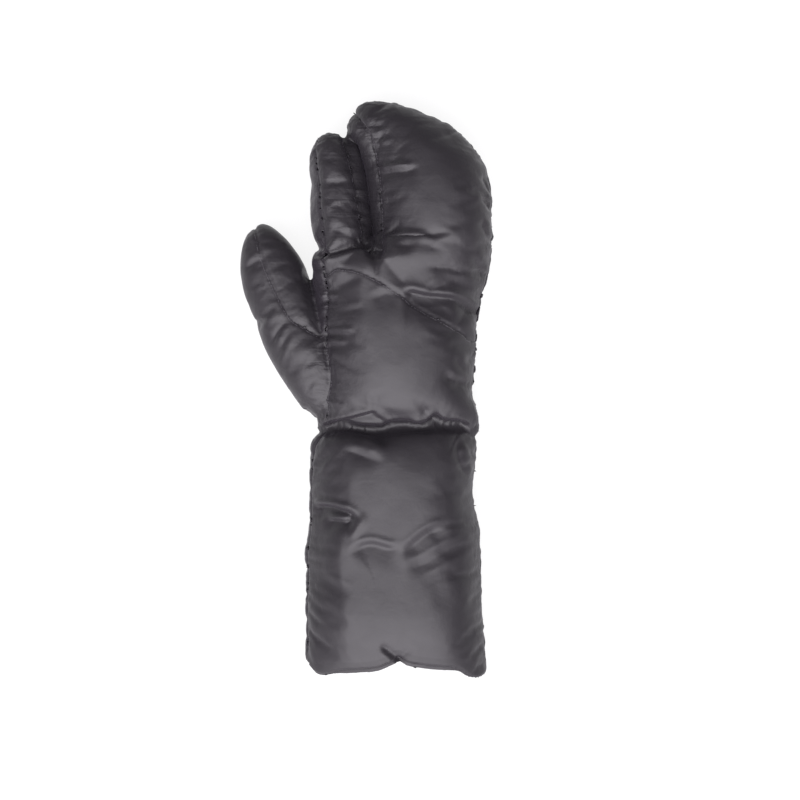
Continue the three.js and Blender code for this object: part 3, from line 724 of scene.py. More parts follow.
# Folds of the upper side, by the part that they lie on. A line runs from left to right, and its left side is the one
# towards the fingertips.

GAUNTLET_FOLDS = (
    Fold(
        (
            (-30.5, 0.2), (-20.3, -0.3), (-9.5, 0.0), (-3.4, 2.7), (7.4, 3.4), (12.9, 1.6), (20.3, 2.8), (25.7, 6.6),
            (32.5, 4.1), (44.7, 2.7), (51.5, -3.0),
        ),
        -3.4, 1.8, 10.0, 10.0, 1.2,
    ),  # where the hand hangs over the wrist seam
    Fold(((-29.8, -0.7), (-19.0, -6.8), (-4.1, -19.0)), 2.2, 3.5, 7.0, 14.0),  # lens below the wrist
    Fold(((-39.3, -13.5), (-25.7, -16.2), (-6.8, -23.7)), -2.0, 3.0, 8.0, 14.0, 0.5),  # under the lens
    Fold(
        ((41.5, -4.1), (42.3, -16.3), (45.7, -27.4), (53.2, -35.2)),
        -1.8, 2.4, 6.0, 10.0, 0.5,
    ),  # right of the wrist
    Fold(
        ((-57.0, -53.0), (-44.7, -52.8), (-32.5, -55.5), (-25.4, -60.3)),
        -4.2, 2.0, 7.0, 6.0, 1.2,
    ),  # pocket's upper lip
    Fold(((-50.1, -60.9), (-37.9, -61.6), (-25.7, -61.2)), -3.0, 1.6, 6.0, 7.0, 1.0),  # pocket's lower lip
    Fold(
        ((-25.7, -54.2), (-21.7, -59.6), (-25.7, -66.3), (-32.5, -75.8)),
        1.4, 3.0, 3.0, 10.0,
    ),  # round the pocket
    Fold(
        ((-31.1, -84.6), (-24.4, -79.5), (-16.2, -77.2), (-4.1, -79.9), (5.4, -78.5)),
        -3.0, 3.2, 10.0, 12.0, 1.2,
    ),  # long diagonal
    Fold(
        ((1.4, -84.9), (10.8, -77.9), (23.0, -69.1), (37.9, -65.0)),
        -2.8, 4.0, 9.0, 14.0, 0.8,
    ),  # its right half
    Fold(
        ((4.1, -93.4), (19.0, -89.4), (33.9, -81.2), (50.1, -75.8)),
        -2.0, 5.0, 9.0, 14.0, 0.6,
    ),  # second diagonal
    Fold(
        ((16.2, -105.6), (33.9, -97.5), (50.1, -89.4)),
        -1.4, 6.0, 9.0, 14.0, 0.4,
    ),  # under the second diagonal
    Fold(((-54.2, -97.5), (-43.3, -103.6), (-28.4, -111.0)), -1.3, 4.0, 9.0, 12.0, 0.5),  # low left
    Fold(((-56.9, -116.4), (-44.7, -121.9), (-29.8, -131.3)), -1.1, 4.0, 9.0, 12.0, 0.4),  # lower left
    Fold(((-55.5, -143.5), (-42.0, -150.3), (-27.1, -153.0)), -0.8, 4.0, 6.0, 10.0, 0.3),  # lowest left
    Fold(((7.0, -159.5), (-2.7, -149.6), (-12.0, -142.5)), -2.6, 1.8, 4.5, 7.0, 1.0),  # hem pinch
    Fold(((-2.0, -158.5), (5.4, -149.5), (13.5, -145.0)), -1.4, 4.0, 2.0, 7.0),  # hem pinch right
)
HAND_FOLDS = (
    Fold(
        ((-52.8, -0.7), (-42.0, 2.7), (-27.1, 6.1), (-15.6, 9.5), (-11.5, 12.0)),
        -3.2, 1.8, 5.0, 7.0, 1.2,
    ),  # at the wrist's left
    Fold(((-15.6, 10.5), (-13.0, 17.6), (-15.5, 26.0)), -1.2, 3.0, 5.0, 6.0, 0.4),  # its soft upper end
    Fold(((21.7, 3.4), (25.7, 8.1), (28.4, 13.5)), -1.6, 2.0, 2.0, 6.0, 0.6),  # notch over the wrist
    Fold(((-51.5, 86.0), (-46.0, 86.0), (-37.9, 85.3)), -1.2, 1.5, 3.0, 4.0, 0.7),  # left puckers
    Fold(((-50.1, 66.3), (-42.0, 68.4), (-33.9, 68.4)), -0.9, 1.5, 3.0, 4.0, 0.6),  # left pucker second
    Fold(((-51.5, 61.6), (-42.0, 63.0), (-25.7, 62.3)), -1.4, 1.6, 4.5, 6.0, 1.0),  # long left pucker
    Fold(((-50.1, 54.2), (-40.6, 55.5), (-29.8, 54.8)), -1.0, 1.5, 4.0, 6.0, 0.6),  # left pucker lower
    Fold(((29.8, 37.9), (37.9, 32.5), (50.1, 29.8)), -2.4, 3.0, 5.0, 8.0, 0.6),  # dent at the right
    Fold(((37.9, 49.4), (44.7, 40.6), (50.1, 35.2)), -1.4, 3.0, 4.0, 8.0, 0.4),  # upper dent at the right
    Fold(((-17.6, 83.9), (-6.8, 89.4), (4.1, 86.7)), -1.2, 3.0, 7.0, 8.0, 0.4),  # soft dent in the middle
    Fold(((-39.3, 74.5), (-29.8, 78.5), (-19.0, 79.9)), -0.8, 2.5, 4.0, 8.0, 0.3),  # soft dent left
)
FINGER_FOLDS = (
    Fold(
        ((3.4, 90.4), (10.8, 89.8), (20.3, 87.5), (29.8, 86.9), (42.0, 85.6), (50.1, 81.2), (56.2, 75.9)),
        -4.4, 1.8, 12.0, 8.0, 1.1,
    ),  # overhang over the knuckle seam
    Fold(((20.3, 87.3), (25.7, 92.7), (37.9, 97.5)), -1.2, 3.0, 4.0, 8.0, 0.4),  # fold into it from above
    Fold(((-23.0, 119.2), (-14.9, 121.9), (-5.4, 120.5)), -5.0, 3.0, 17.0, 6.0),  # dip at the crotch
    Fold(
        ((-16.2, 122.5), (-27.1, 121.2), (-36.6, 118.5), (-44.7, 116.4), (-56.9, 115.8)),
        -3.0, 1.6, 5.0, 5.0, 1.0,
    ),  # crotch to the index's base
    Fold(
        ((-9.5, 116.4), (-5.4, 108.3), (1.4, 100.2), (9.5, 92.1)),
        -1.8, 6.0, 4.0, 9.0,
    ),  # crotch to the knuckles
    Fold(
        ((-10.8, 123.2), (-4.1, 127.3), (5.4, 129.3), (16.2, 128.6), (25.7, 125.2)),
        2.2, 2.2, 4.0, 8.0,
    ),  # lens right of the crotch
    Fold(((-8.1, 129.3), (-1.4, 133.4), (4.1, 138.1)), -1.6, 2.5, 3.0, 5.0, 0.5),  # over the lens
    Fold(((-2.7, 120.8), (6.8, 121.6), (15.0, 120.2)), -1.6, 3.0, 6.0, 8.0),  # below the lens
    Fold(((-51.5, 163.8), (-39.3, 165.2), (-29.8, 163.2)), -0.6, 2.0, 4.0, 8.0),  # index crease
    Fold(((-29.8, 154.4), (-25.7, 156.4), (-21.7, 153.7)), -1.2, 1.4, 3.0, 3.0, 0.9),  # index crease right
    Fold(((-29.8, 146.2), (-24.4, 146.2), (-19.0, 142.2)), -1.2, 1.5, 3.0, 3.0, 0.7),  # index puckers right
    Fold(
        ((-28.4, 139.5), (-23.0, 139.5), (-17.6, 135.4)),
        -1.0, 1.5, 3.0, 3.0, 0.6,
    ),  # index pucker right second
    Fold(
        ((-47.4, 132.7), (-37.9, 131.3), (-27.1, 127.3), (-17.6, 125.9)),
        -1.6, 3.0, 5.0, 8.0, 0.5,
    ),  # index base
    Fold(((-20.3, 202.4), (-13.5, 203.8), (-5.4, 201.7)), -0.6, 1.8, 3.5, 6.0, 0.3),  # pouch pucker top
    Fold(((-17.6, 195.0), (-10.8, 195.7), (-2.7, 197.0)), -0.8, 1.8, 3.5, 7.0, 0.4),  # pouch pucker second
    Fold(((-15.6, 187.5), (-8.1, 188.9), (0.0, 190.2)), -0.9, 1.8, 4.0, 7.0, 0.4),  # pouch pucker third
    Fold(((-10.8, 174.0), (-4.1, 175.3), (4.1, 175.3), (10.8, 173.3)), 1.5, 2.0, 3.0, 5.0),  # pouch lens
    Fold(
        ((-12.2, 169.9), (-2.7, 171.3), (8.1, 172.0), (16.2, 173.3)),
        -1.5, 1.6, 4.0, 7.0, 0.6,
    ),  # under the pouch lens
    Fold(((-9.5, 157.1), (-4.1, 159.1), (1.4, 158.4)), -0.7, 1.8, 3.5, 5.0, 0.3),  # pouch pucker low
    Fold(((-9.5, 148.9), (-2.7, 151.0), (4.1, 151.0)), -0.8, 1.8, 4.0, 6.0, 0.3),  # pouch pucker lower
    Fold(((58.2, 170.6), (61.6, 163.8), (64.3, 157.1)), -1.4, 1.5, 3.0, 4.0, 0.8),  # pouch right upper
    Fold(((58.2, 155.7), (62.3, 150.3), (66.3, 146.2)), -1.4, 1.5, 3.0, 4.0, 0.8),  # pouch right
    Fold(((56.9, 139.5), (60.9, 131.3), (66.3, 123.2)), -1.6, 1.8, 3.5, 5.0, 0.8),  # pouch right lower
    Fold(((50.1, 116.4), (55.5, 108.3), (59.6, 98.8)), -1.6, 3.0, 5.0, 8.0, 0.5),  # pouch right dent
)
THUMB_FOLDS = (
    Fold(
        ((-104.3, 107.0), (-98.8, 110.2), (-93.4, 113.0), (-86.0, 113.6)),
        -1.1, 2.0, 4.0, 7.0, 0.4,
    ),  # cross crease
    Fold(
        ((-69.1, 72.5), (-75.8, 69.0), (-81.2, 62.6), (-83.9, 54.5)),
        -1.5, 2.0, 4.0, 8.0, 0.7,
    ),  # from the web
    Fold(((-69.1, 66.1), (-74.5, 59.3), (-79.9, 48.5), (-83.9, 43.0)), -0.8, 2.5, 4.0, 8.0, 0.4),  # beside it
    Fold(((-50.1, 34.5), (-56.9, 29.8), (-60.9, 21.7)), -0.7, 2.5, 4.0, 7.0, 0.4),  # heel crease
    Fold(((-50.1, 45.4), (-56.9, 43.3), (-62.3, 39.3)), -0.6, 2.0, 4.0, 6.0, 0.3),  # heel crease above it
)


@dataclass
class Skin:
    """The whole outer surface of the mitt and the hollow inside it. Sizes are in millimetres."""

    voxel: float = 2.1
    hollow_voxel: float = 4.0
    seam_reach: float = 7.0
    lump_height: float = 0.6
    lump_size: float = 52.0
    hem_rounding: float = 2.4
    hem_roundness: float = 0.98
    edge_reach: float = 6.0
    gap_top: float = 42.0
    gap_fade: float = 16.0
    gap_foot: tuple[float, float] = (2.0, 9.0)
    gap_reach: float = 7.0
    gap_tip: tuple[float, float] = (198.0, 190.0)
    touching: float = 0.02
    resting: float = 0.6
    mouth: float = -172.0
    snap: float = 0.55
    cloth_scale: float = 10.0
    cloth_quality: int = 6
    cloth_mass: float = 0.3
    cloth_stiffness: float = 15.0
    cloth_bending: float = 0.05
    cloth_pressure: float = 4.0
    cloth_slack: float = 0.05
    cloth_frames: int = 20
    cap: float = 7.0
    gap_cap: float = 0.6
    relax_rounds: int = 9
    least_hold: float = 0.5
    streak_reach: float = 12.0
    seams: SeamPlan = field(default_factory=SeamPlan)
    points: np.ndarray = field(default_factory=lambda: np.empty((0, 3)))
    faces: np.ndarray = field(default_factory=lambda: np.empty((0, 4), int))
    sewn: np.ndarray = field(default_factory=lambda: np.empty(0, bool))
    held: np.ndarray = field(default_factory=lambda: np.empty(0, bool))
    panel: np.ndarray = field(default_factory=lambda: np.empty(0, int))
    streaks: np.ndarray = field(default_factory=lambda: np.empty(0))
    corners: int = 0

    def joined(self, name: str, voxel: float, inset: bool) -> bpy.types.Object:
        """The three tubes, or their hollows, as one even closed surface.

        Args:
            name: The helper object's name.
            voxel: The size of its faces, in mm.
            inset: Whether the hollows are wanted.

        Returns:
            A helper object, in millimetres.
        """
        points, faces, count = [], [], 0
        for tube, sides in ((HAND, 120), (INDEX, 60), (THUMB, 60)):
            p, f = tube.mesh(sides, 2.5, inset)
            points.append(p)
            faces.append(np.where(f < 0, -1, f + count))
            count += len(p)
        item = make_object(name, np.vstack(points), np.vstack(faces))
        remesh = item.modifiers.new("even", "REMESH")
        remesh.mode = "VOXEL"
        remesh.voxel_size = voxel
        apply_modifiers(item)
        return item

    def shape(self) -> None:
        """Makes the skin's even mesh, lays points onto the seams and marks each face's panel."""
        item = self.joined("skin_form", self.voxel, False)
        points, faces = read_vertices(item.data), read_quads(item.data)
        discard(item)
        points = smoothed(points, faces, 3)
        plan = self.seams
        on_lines = np.zeros(len(points), bool)
        thumb = plan.into_thumb(points) > 0
        above = plan.above_sides(points) > 0
        top = points[:, 1] > plan.crotch
        body = ~thumb
        rules = (
            (plan.past_edge, body),
            (plan.past_wrist, body),
            (plan.past_hem, body),
            (plan.above_sides, body),
            (plan.past_knuckle, body & above & (plan.past_wrist(points) > 0)),
            (plan.past_crotch, body & ~above & (plan.past_index_side(points) < 0)),
            (plan.past_pouch_side, body & top),
            (plan.past_index_side, body & top),
            (plan.past_thumb_top, thumb),
            (plan.into_thumb, np.ones(len(points), bool)),
        )
        for value, where in rules:
            points, laid = self.lay_onto(points, faces, value, where)
            on_lines |= laid
        self.points, self.faces = points, self.split_along(on_lines, faces)
        corner = np.where(self.faces < 0, self.faces[:, :1], self.faces)
        middle = points[corner].mean(axis=1)
        self.panel = plan.panels(middle)
        self.draw_in_seams()
        LOG.info("skin: %d points, %d faces, %d on seams", len(points), len(self.faces), int(self.sewn.sum()))

    def lay_onto(
        self, points: np.ndarray, faces: np.ndarray, value: Callable[[np.ndarray], np.ndarray], where: np.ndarray
    ) -> tuple[np.ndarray, np.ndarray]:
        """Moves the points nearest to a seam onto it, within the surface.

        The value's slope along the surface is its gradient less the part along the normal; a point moves against the
        slope by value / slope, if that is under the snapping share of a face.

        Args:
            points: The skin's points.
            faces: Its faces.
            value: A function that is 0 on the seam.
            where: Which points the seam may take.

        Returns:
            The moved points, and which of them now lie on the seam.
        """
        normal = vertex_normals(points, faces)
        step = 0.2
        slopes = [(value(points + step * e) - value(points - step * e)) / (2 * step) for e in np.eye(3)]
        slope = np.stack(slopes, axis=1)
        slope -= (slope * normal).sum(axis=1, keepdims=True) * normal
        steep = np.maximum(np.linalg.norm(slope, axis=1), 0.2)
        here = value(points)
        near = where & (np.abs(here) / steep < self.snap * self.voxel)
        move = np.where(near, -here / steep**2, 0.0)[:, None] * slope
        return points + move, near

    def split_along(self, on_lines: np.ndarray, faces: np.ndarray) -> np.ndarray:
        """Splits each quad whose corners on the seams face each other into two triangles along them."""
        on = on_lines[faces]
        quad = faces[:, 3] >= 0
        first = quad & on[:, 0] & on[:, 2] & ~on[:, 1] & ~on[:, 3]
        second = quad & on[:, 1] & on[:, 3] & ~on[:, 0] & ~on[:, 2]
        none = np.full((len(faces), 1), -1)
        parts = [faces[~(first | second)]]
        for chosen, corners in ((first, ((0, 1, 2), (0, 2, 3))), (second, ((0, 1, 3), (1, 2, 3)))):
            for corner in corners:
                parts.append(np.hstack([faces[chosen][:, corner], none[chosen]]))
        return np.vstack(parts)

    def shift(self, move: np.ndarray) -> None:
        """Moves the points, and keeps them on or over the surface that the mitt lies on."""
        self.points = self.points + move
        self.points[:, 2] = np.maximum(self.points[:, 2], 0.0)

    def seam_pairs(self) -> tuple[np.ndarray, np.ndarray]:
        """The lowest and the highest number of the panels around each point."""
        lowest = np.full(len(self.points), len(Panel))
        highest = np.full(len(self.points), -1)
        for k in range(4):
            has = self.faces[:, k] >= 0
            np.minimum.at(lowest, self.faces[has, k], self.panel[has])
            np.maximum.at(highest, self.faces[has, k], self.panel[has])
        return lowest, highest

    def gathers(self) -> tuple[np.ndarray, np.ndarray, np.ndarray]:
        """Each point's distance to the nearest seam, the nearest place on it, and that seam's gather as columns."""
        lowest, highest = self.seam_pairs()
        self.sewn = (lowest != highest) & (highest < Panel.cut_off.value)
        table = np.tile(astuple(PLAIN_SEAM), (len(Panel), len(Panel), 1))
        for pair, gather in GATHERS.items():
            first, second = sorted(panel.value for panel in pair)
            table[first, second] = astuple(gather)
        distance, nearest = self.from_seams()
        place = smoothed(self.points[nearest], self.faces, 3)
        columns = smoothed(table[lowest[nearest], highest[nearest]], self.faces, 5)
        return distance, place, columns

    def draw_in_seams(self) -> None:
        """Draws the shell in along its seams, by sink exp(-(distance / reach)^2), before the cloth is blown up."""
        distance, _, columns = self.gathers()
        self.held = self.sewn & (columns[:, 0] > self.least_hold)
        sink = columns[:, 0] * np.exp(-((distance / self.seam_reach) ** 2))
        self.shift(-sink[:, None] * vertex_normals(self.points, self.faces))

    def relax(self) -> None:
        """Evens the fine skin out along its normals, so that the cloth's stretched faces at the seams don't show."""
        normals = vertex_normals(self.points, self.faces)
        move = smoothed(self.points, self.faces, self.relax_rounds) - self.points
        self.shift((move * normals).sum(axis=1, keepdims=True) * normals)

    def pucker(self) -> None:
        """Draws the stitched grooves, the puckers beside them and the filling's lumps into the fine skin.

        A pucker's height comes from |noise| read at the nearest place on the seam, so that it runs straight out from
        the seam, between sharp valleys where the noise passes 0. It rises over the first 4 mm and fades as
        exp(-(distance / length)^1.5), with a length that varies along the seam.
        """
        distance, place, columns = self.gathers()
        _, groove, height, pitch, reach, streaks = columns.T
        self.streaks = streaks * np.exp(-distance / self.streak_reach)
        drift = 0.06 * distance[:, None] * np.array([0.7, 0.5, 0.3])
        coarse = np.abs(lattice_noise((place + drift) / pitch[:, None], 11))
        fine = np.abs(lattice_noise((place - drift) / (0.45 * pitch[:, None]), 12))
        length = reach * (0.7 + 0.9 * np.abs(lattice_noise(place / (1.3 * pitch[:, None]), 13)))
        start = smoothstep(0.4, 4.0, distance)
        long = start * np.exp(-((distance / length) ** 1.5))
        short = start * np.exp(-((2.0 * distance / length) ** 1.5))
        rise = height * ((2.2 * coarse - 0.6) * long + 0.45 * (2.2 * fine - 0.6) * short)
        rise -= np.minimum(0.9, 1.8 * columns[:, 0]) * np.exp(-((distance / groove) ** 2))
        free = smoothstep(2.0, 16.0, distance)
        lumps = self.lump_height * soft_waves(self.points, self.lump_size, 21)
        lumps += 0.3 * self.lump_height * soft_waves(self.points, 0.4 * self.lump_size, 22)
        normals = vertex_normals(self.points, self.faces)
        self.shift((rise + free * lumps)[:, None] * normals)

    def close_gap(self) -> None:
        """Lets the index finger and the pouch bulge against each other under their seams, so that no floor shows.

        Between the crotch and the index finger's tip, a wall point at a distance d from the gap's middle line moves
        to the touching distance by a share that is full at half height and fades towards the top and the underside,
        and for points further off than the gap is wide.
        """
        x, y, z = self.points.T
        plan = self.seams
        middle = (plan.index_side.x_at(y) + plan.pouch_side.x_at(y)) / 2
        away = x - middle
        share = smoothstep(self.gap_top, self.gap_top - self.gap_fade, z) * smoothstep(*self.gap_foot, z)
        share *= np.exp(-((away / self.gap_reach) ** 12)) * smoothstep(plan.crotch, plan.crotch + 6.0, y)
        share *= smoothstep(*self.gap_tip, y)
        target = np.sign(away) * self.touching
        self.points[:, 0] = x + share * (target - away)

    def fold(self) -> None:
        """Draws the main folds into the upper side and rounds the hem's edge inwards, as a quarter of a circle."""
        normals = smoothed(vertex_normals(self.points, self.faces), self.faces, 2)
        facing = normals[:, 2]
        lift = np.zeros(len(self.points))
        for fold in GAUNTLET_FOLDS + HAND_FOLDS + FINGER_FOLDS + THUMB_FOLDS:
            lift += fold.rise(self.points, facing)
        edge = self.seams.past_edge(self.points)
        inward = 1.0 - np.clip(edge / self.hem_rounding, 0.0, 1.0)
        drop = self.hem_rounding * (1.0 - np.sqrt(1.0 - self.hem_roundness * inward**2))
        lift -= drop * (edge > -self.edge_reach)
        self.shift(lift[:, None] * normals)

    def blow_up(self) -> None:
        """Blows the skin up as cloth that its seams hold, where it is a little too large for the form under it.

        The cloth is simulated larger than the mitt, by cloth_scale, where its faces are of the size that the solver
        is made for. Its seams and its flat resting side stay where they are, and no point moves further than the cap.
        """
        scale = self.cloth_scale * MILLIMETRE
        item = make_object("cloth_form", self.points * scale, self.faces)
        held = item.vertex_groups.new(name="held")
        firm = self.held | (self.points[:, 2] < self.resting) | (self.points[:, 1] < self.mouth)
        held.add(np.flatnonzero(firm).tolist(), 1.0, "REPLACE")
        cloth = item.modifiers.new("cloth", "CLOTH")
        settings = cloth.settings
        settings.quality = self.cloth_quality
        settings.mass = self.cloth_mass
        settings.tension_stiffness = self.cloth_stiffness
        settings.compression_stiffness = self.cloth_stiffness
        settings.shear_stiffness = self.cloth_stiffness / 3
        settings.bending_stiffness = self.cloth_bending
        settings.air_damping = 1.0
        settings.use_pressure = True
        settings.uniform_pressure_force = self.cloth_pressure
        settings.vertex_group_mass = held.name
        settings.shrink_min = -self.cloth_slack
        settings.effector_weights.gravity = 0.0
        cloth.collision_settings.use_collision = False
        cloth.collision_settings.use_self_collision = False
        scene = bpy.context.scene
        cloth.point_cache.frame_start = 1
        cloth.point_cache.frame_end = self.cloth_frames
        for frame in range(1, self.cloth_frames + 1):
            scene.frame_set(frame)
        apply_modifiers(item)
        blown = read_vertices(item.data) / scale
        discard(item)
        scene.frame_set(1)
        move = blown - self.points
        length = np.linalg.norm(move, axis=1, keepdims=True)
        cap = np.where(self.near_gap(), self.gap_cap, self.cap)[:, None]
        self.shift(move * np.minimum(1.0, cap / np.maximum(length, 1e-9)))
        LOG.info("cloth: moved %.1f mm at most, %.1f mm on the whole", length.max(), length[~firm].mean())

    def near_gap(self) -> np.ndarray:
        """Which points lie beside the gap between the index finger and the pouch, or in the thumb's web."""
        plan = self.seams
        p = self.points
        slot = (plan.past_crotch(p) > -6) & (plan.past_index_side(p) > -1) & (plan.past_pouch_side(p) < 1)
        web = np.abs(plan.into_thumb(p)) < 5
        return slot | web

    def from_seams(self) -> tuple[np.ndarray, np.ndarray]:
        """The distance of each point to the nearest sewn point, and which one that is."""
        targets = np.flatnonzero(self.sewn)
        goal = self.points[targets]
        nearest = np.empty(len(self.points), int)
        distance = np.empty(len(self.points))
        for start in range(0, len(self.points), 4096):
            here = self.points[start : start + 4096]
            square = (here**2).sum(axis=1)[:, None] + (goal**2).sum(axis=1)[None, :] - 2 * here @ goal.T
            best = square.argmin(axis=1)
            nearest[start : start + 4096] = targets[best]
            distance[start : start + 4096] = np.linalg.norm(here - goal[best], axis=1)
        return distance, nearest

    def refine(self) -> None:
        """Divides each face of the skin once, with the panels' numbers carried along."""
        item = make_object("fine_form", self.points, self.faces)
        number = item.data.attributes.new("panel", "INT", "FACE")
        number.data.foreach_set("value", self.panel.astype(np.int32))
        divide = item.modifiers.new("fine", "SUBSURF")
        divide.subdivision_type = "SIMPLE"
        divide.levels = divide.render_levels = 1
        apply_modifiers(item)
        mesh = item.data
        self.corners = len(self.points)
        self.points, self.faces = read_vertices(mesh), read_quads(mesh)
        panel = np.empty(len(self.faces), np.int32)
        mesh.attributes["panel"].data.foreach_get("value", panel)
        self.panel = panel
        discard(item)
        LOG.info("fine skin: %d points, %d faces", len(self.points), len(self.faces))

    def behind(self) -> np.ndarray:
        """For each point of the skin, the nearest point of the hollow inside it."""
        form = make_object("wall_form", self.points, self.faces)
        target = self.joined("hollow_form", self.hollow_voxel, True)
        wrap = form.modifiers.new("inner", "SHRINKWRAP")
        wrap.target = target
        wrap.wrap_method = "NEAREST_SURFACEPOINT"
        apply_modifiers(form)
        inner = read_vertices(form.data)
        discard(form)
        discard(target)
        return inner


# Finishes


def linear(colour: str) -> tuple[float, float, float, float]:
    """An sRGB hex colour as a linear one: c / 12.92 up to 0.04045, and ((c + 0.055) / 1.055)^2.4 above it."""
    channels = [int(colour[k : k + 2], 16) / 255 for k in (1, 3, 5)]
    red, green, blue = (c / 12.92 if c <= 0.04045 else ((c + 0.055) / 1.055) ** 2.4 for c in channels)
    return red, green, blue, 1.0


def add_node(tree: bpy.types.NodeTree, kind: str, settings: dict | None = None, **links) -> bpy.types.Node:
    """Adds a node, sets it and links its inputs.

    Args:
        tree: The material's node tree.
        kind: The node's type name.
        settings: Properties by name, and input values by their socket's name or number.
        **links: A socket to link, or a value, by the input's name with its spaces as underscores.

    Returns:
        The node.
    """
    node = tree.nodes.new(kind)
    for key, value in (settings or {}).items():
        if isinstance(key, str) and hasattr(node, key):
            setattr(node, key, value)
        else:
            node.inputs[key].default_value = value
    for key, source in links.items():
        name = key.replace("_", " ")
        target = node.inputs[int(name[1:])] if name[0] == "i" and name[1:].isdigit() else node.inputs[name]
        if isinstance(source, bpy.types.NodeSocket):
            tree.links.new(source, target)
        else:
            target.default_value = source
    return node


@dataclass(frozen=True)
class NylonTaffeta:
    """Calendered nylon taffeta: plain-woven filament yarn, pressed between hot rollers until it shines.

    To the eye it is nearly black where it reflects nothing, with broad soft highlights, a faint grid of threads close
    up, and a violet cast that comes and goes with the dye.
    """

    name: str
    slot: str
    colour: str = "#19171a"
    second_colour: str = "#201e21"
    roughness: float = 0.43
    thread_pitch_mm: float = 0.55  # real yarns lie 0.15 mm apart; drawn coarser, so that the weave shows at all
    thread_depth: float = 0.12
    crinkle_mm: float = 9.0
    crinkle_depth: float = 0.4
    streak_mm: float = 6.0
    streak_depth: float = 1.0
    streak_height: float = 0.0024
    ior: float = 1.32
    sheen: float = 0.05
    sheen_colour: str = "#b9aec4"

    def make(self) -> bpy.types.Material:
        """The material, with its weave on the panel's own UV map, in millimetres."""
        material = bpy.data.materials.new(self.name)
        material.use_nodes = True
        tree = material.node_tree
        tree.nodes.clear()
        cloth = add_node(tree, "ShaderNodeUVMap", {"uv_map": "cloth"}).outputs["UV"]
        place = add_node(tree, "ShaderNodeTexCoord").outputs["Object"]
        turn = math.pi / self.thread_pitch_mm
        waves = []
        for direction in ("X", "Y"):
            wave = add_node(
                tree,
                "ShaderNodeTexWave",
                {"wave_type": "BANDS", "bands_direction": direction, "wave_profile": "SIN", "Scale": turn},
                Vector=cloth,
            )
            waves.append(wave.outputs["Fac"])
        weave = add_node(tree, "ShaderNodeMath", {"operation": "MULTIPLY"}, i0=waves[0], i1=waves[1])
        crinkle = add_node(
            tree,
            "ShaderNodeTexNoise",
            {"Scale": 1000 / self.crinkle_mm, "Detail": 3.0, "Roughness": 0.55, "Distortion": 0.4},
            Vector=place,
        )
        stretched = add_node(tree, "ShaderNodeMapping", {"Scale": (0.16, 1.0, 1.0)}, Vector=cloth)
        streak = add_node(
            tree,
            "ShaderNodeTexNoise",
            {"Scale": 10 / self.streak_mm, "Detail": 1.2, "Roughness": 0.5, "Distortion": 0.9},
            Vector=stretched.outputs["Vector"],
        )
        dye = add_node(tree, "ShaderNodeTexNoise", {"Scale": 14.0, "Detail": 2.0}, Vector=place)
        shade = add_node(
            tree,
            "ShaderNodeMix",
            {"data_type": "RGBA", 6: linear(self.colour), 7: linear(self.second_colour)},
            i0=dye.outputs["Fac"],
        )
        gloss = add_node(
            tree,
            "ShaderNodeMapRange",
            {"From Min": 0.3, "From Max": 0.7, "To Min": self.roughness - 0.03, "To Max": self.roughness + 0.03},
            Value=crinkle.outputs["Fac"],
        )
        crumpled = add_node(
            tree,
            "ShaderNodeBump",
            {"Strength": self.crinkle_depth, "Distance": 0.0006},
            Height=crinkle.outputs["Fac"],
        )
        share = add_node(tree, "ShaderNodeAttribute", {"attribute_name": "streaks"}).outputs["Fac"]
        patch = add_node(tree, "ShaderNodeMath", {"operation": "MULTIPLY"}, i0=crinkle.outputs["Fac"], i1=share)
        height = add_node(
            tree, "ShaderNodeMath", {"operation": "MULTIPLY"}, i0=streak.outputs["Fac"], i1=patch.outputs[0]
        )
        streaked = add_node(
            tree,
            "ShaderNodeBump",
            {"Strength": self.streak_depth, "Distance": self.streak_height},
            Height=height.outputs[0],
            Normal=crumpled.outputs["Normal"],
        )
        woven = add_node(
            tree,
            "ShaderNodeBump",
            {"Strength": self.thread_depth, "Distance": 0.0001},
            Height=weave.outputs[0],
            Normal=streaked.outputs["Normal"],
        )
        shader = add_node(
            tree,
            "ShaderNodeBsdfPrincipled",
            {
                "IOR": self.ior,
                "Sheen Weight": self.sheen,
                "Sheen Roughness": 0.4,
                "Sheen Tint": linear(self.sheen_colour),
            },
            Base_Color=shade.outputs[2],
            Roughness=gloss.outputs["Result"],
            Normal=woven.outputs["Normal"],
        )
        add_node(tree, "ShaderNodeOutputMaterial", Surface=shader.outputs["BSDF"])
        return material


SHELL = NylonTaffeta("calendered_nylon_taffeta_shell", "shell_nylon")
# The sides that lie down are rubbed a little duller, and their colour is painted a shade darker, as the shade that they
# lie in.
UNDERSIDE = NylonTaffeta(
    "nylon_taffeta_underside", "underside_nylon", colour="#18161a", second_colour="#1e1b1f", roughness=0.46
)
# The hem is doubled cloth, as dull as the underside, and its colour is painted darker still, as shade along its turned
# edge.
HEM = NylonTaffeta("turned_nylon_taffeta_hem", "hem_nylon", colour="#171518", second_colour="#1c1a1d", roughness=0.46)


# The mitt's parts


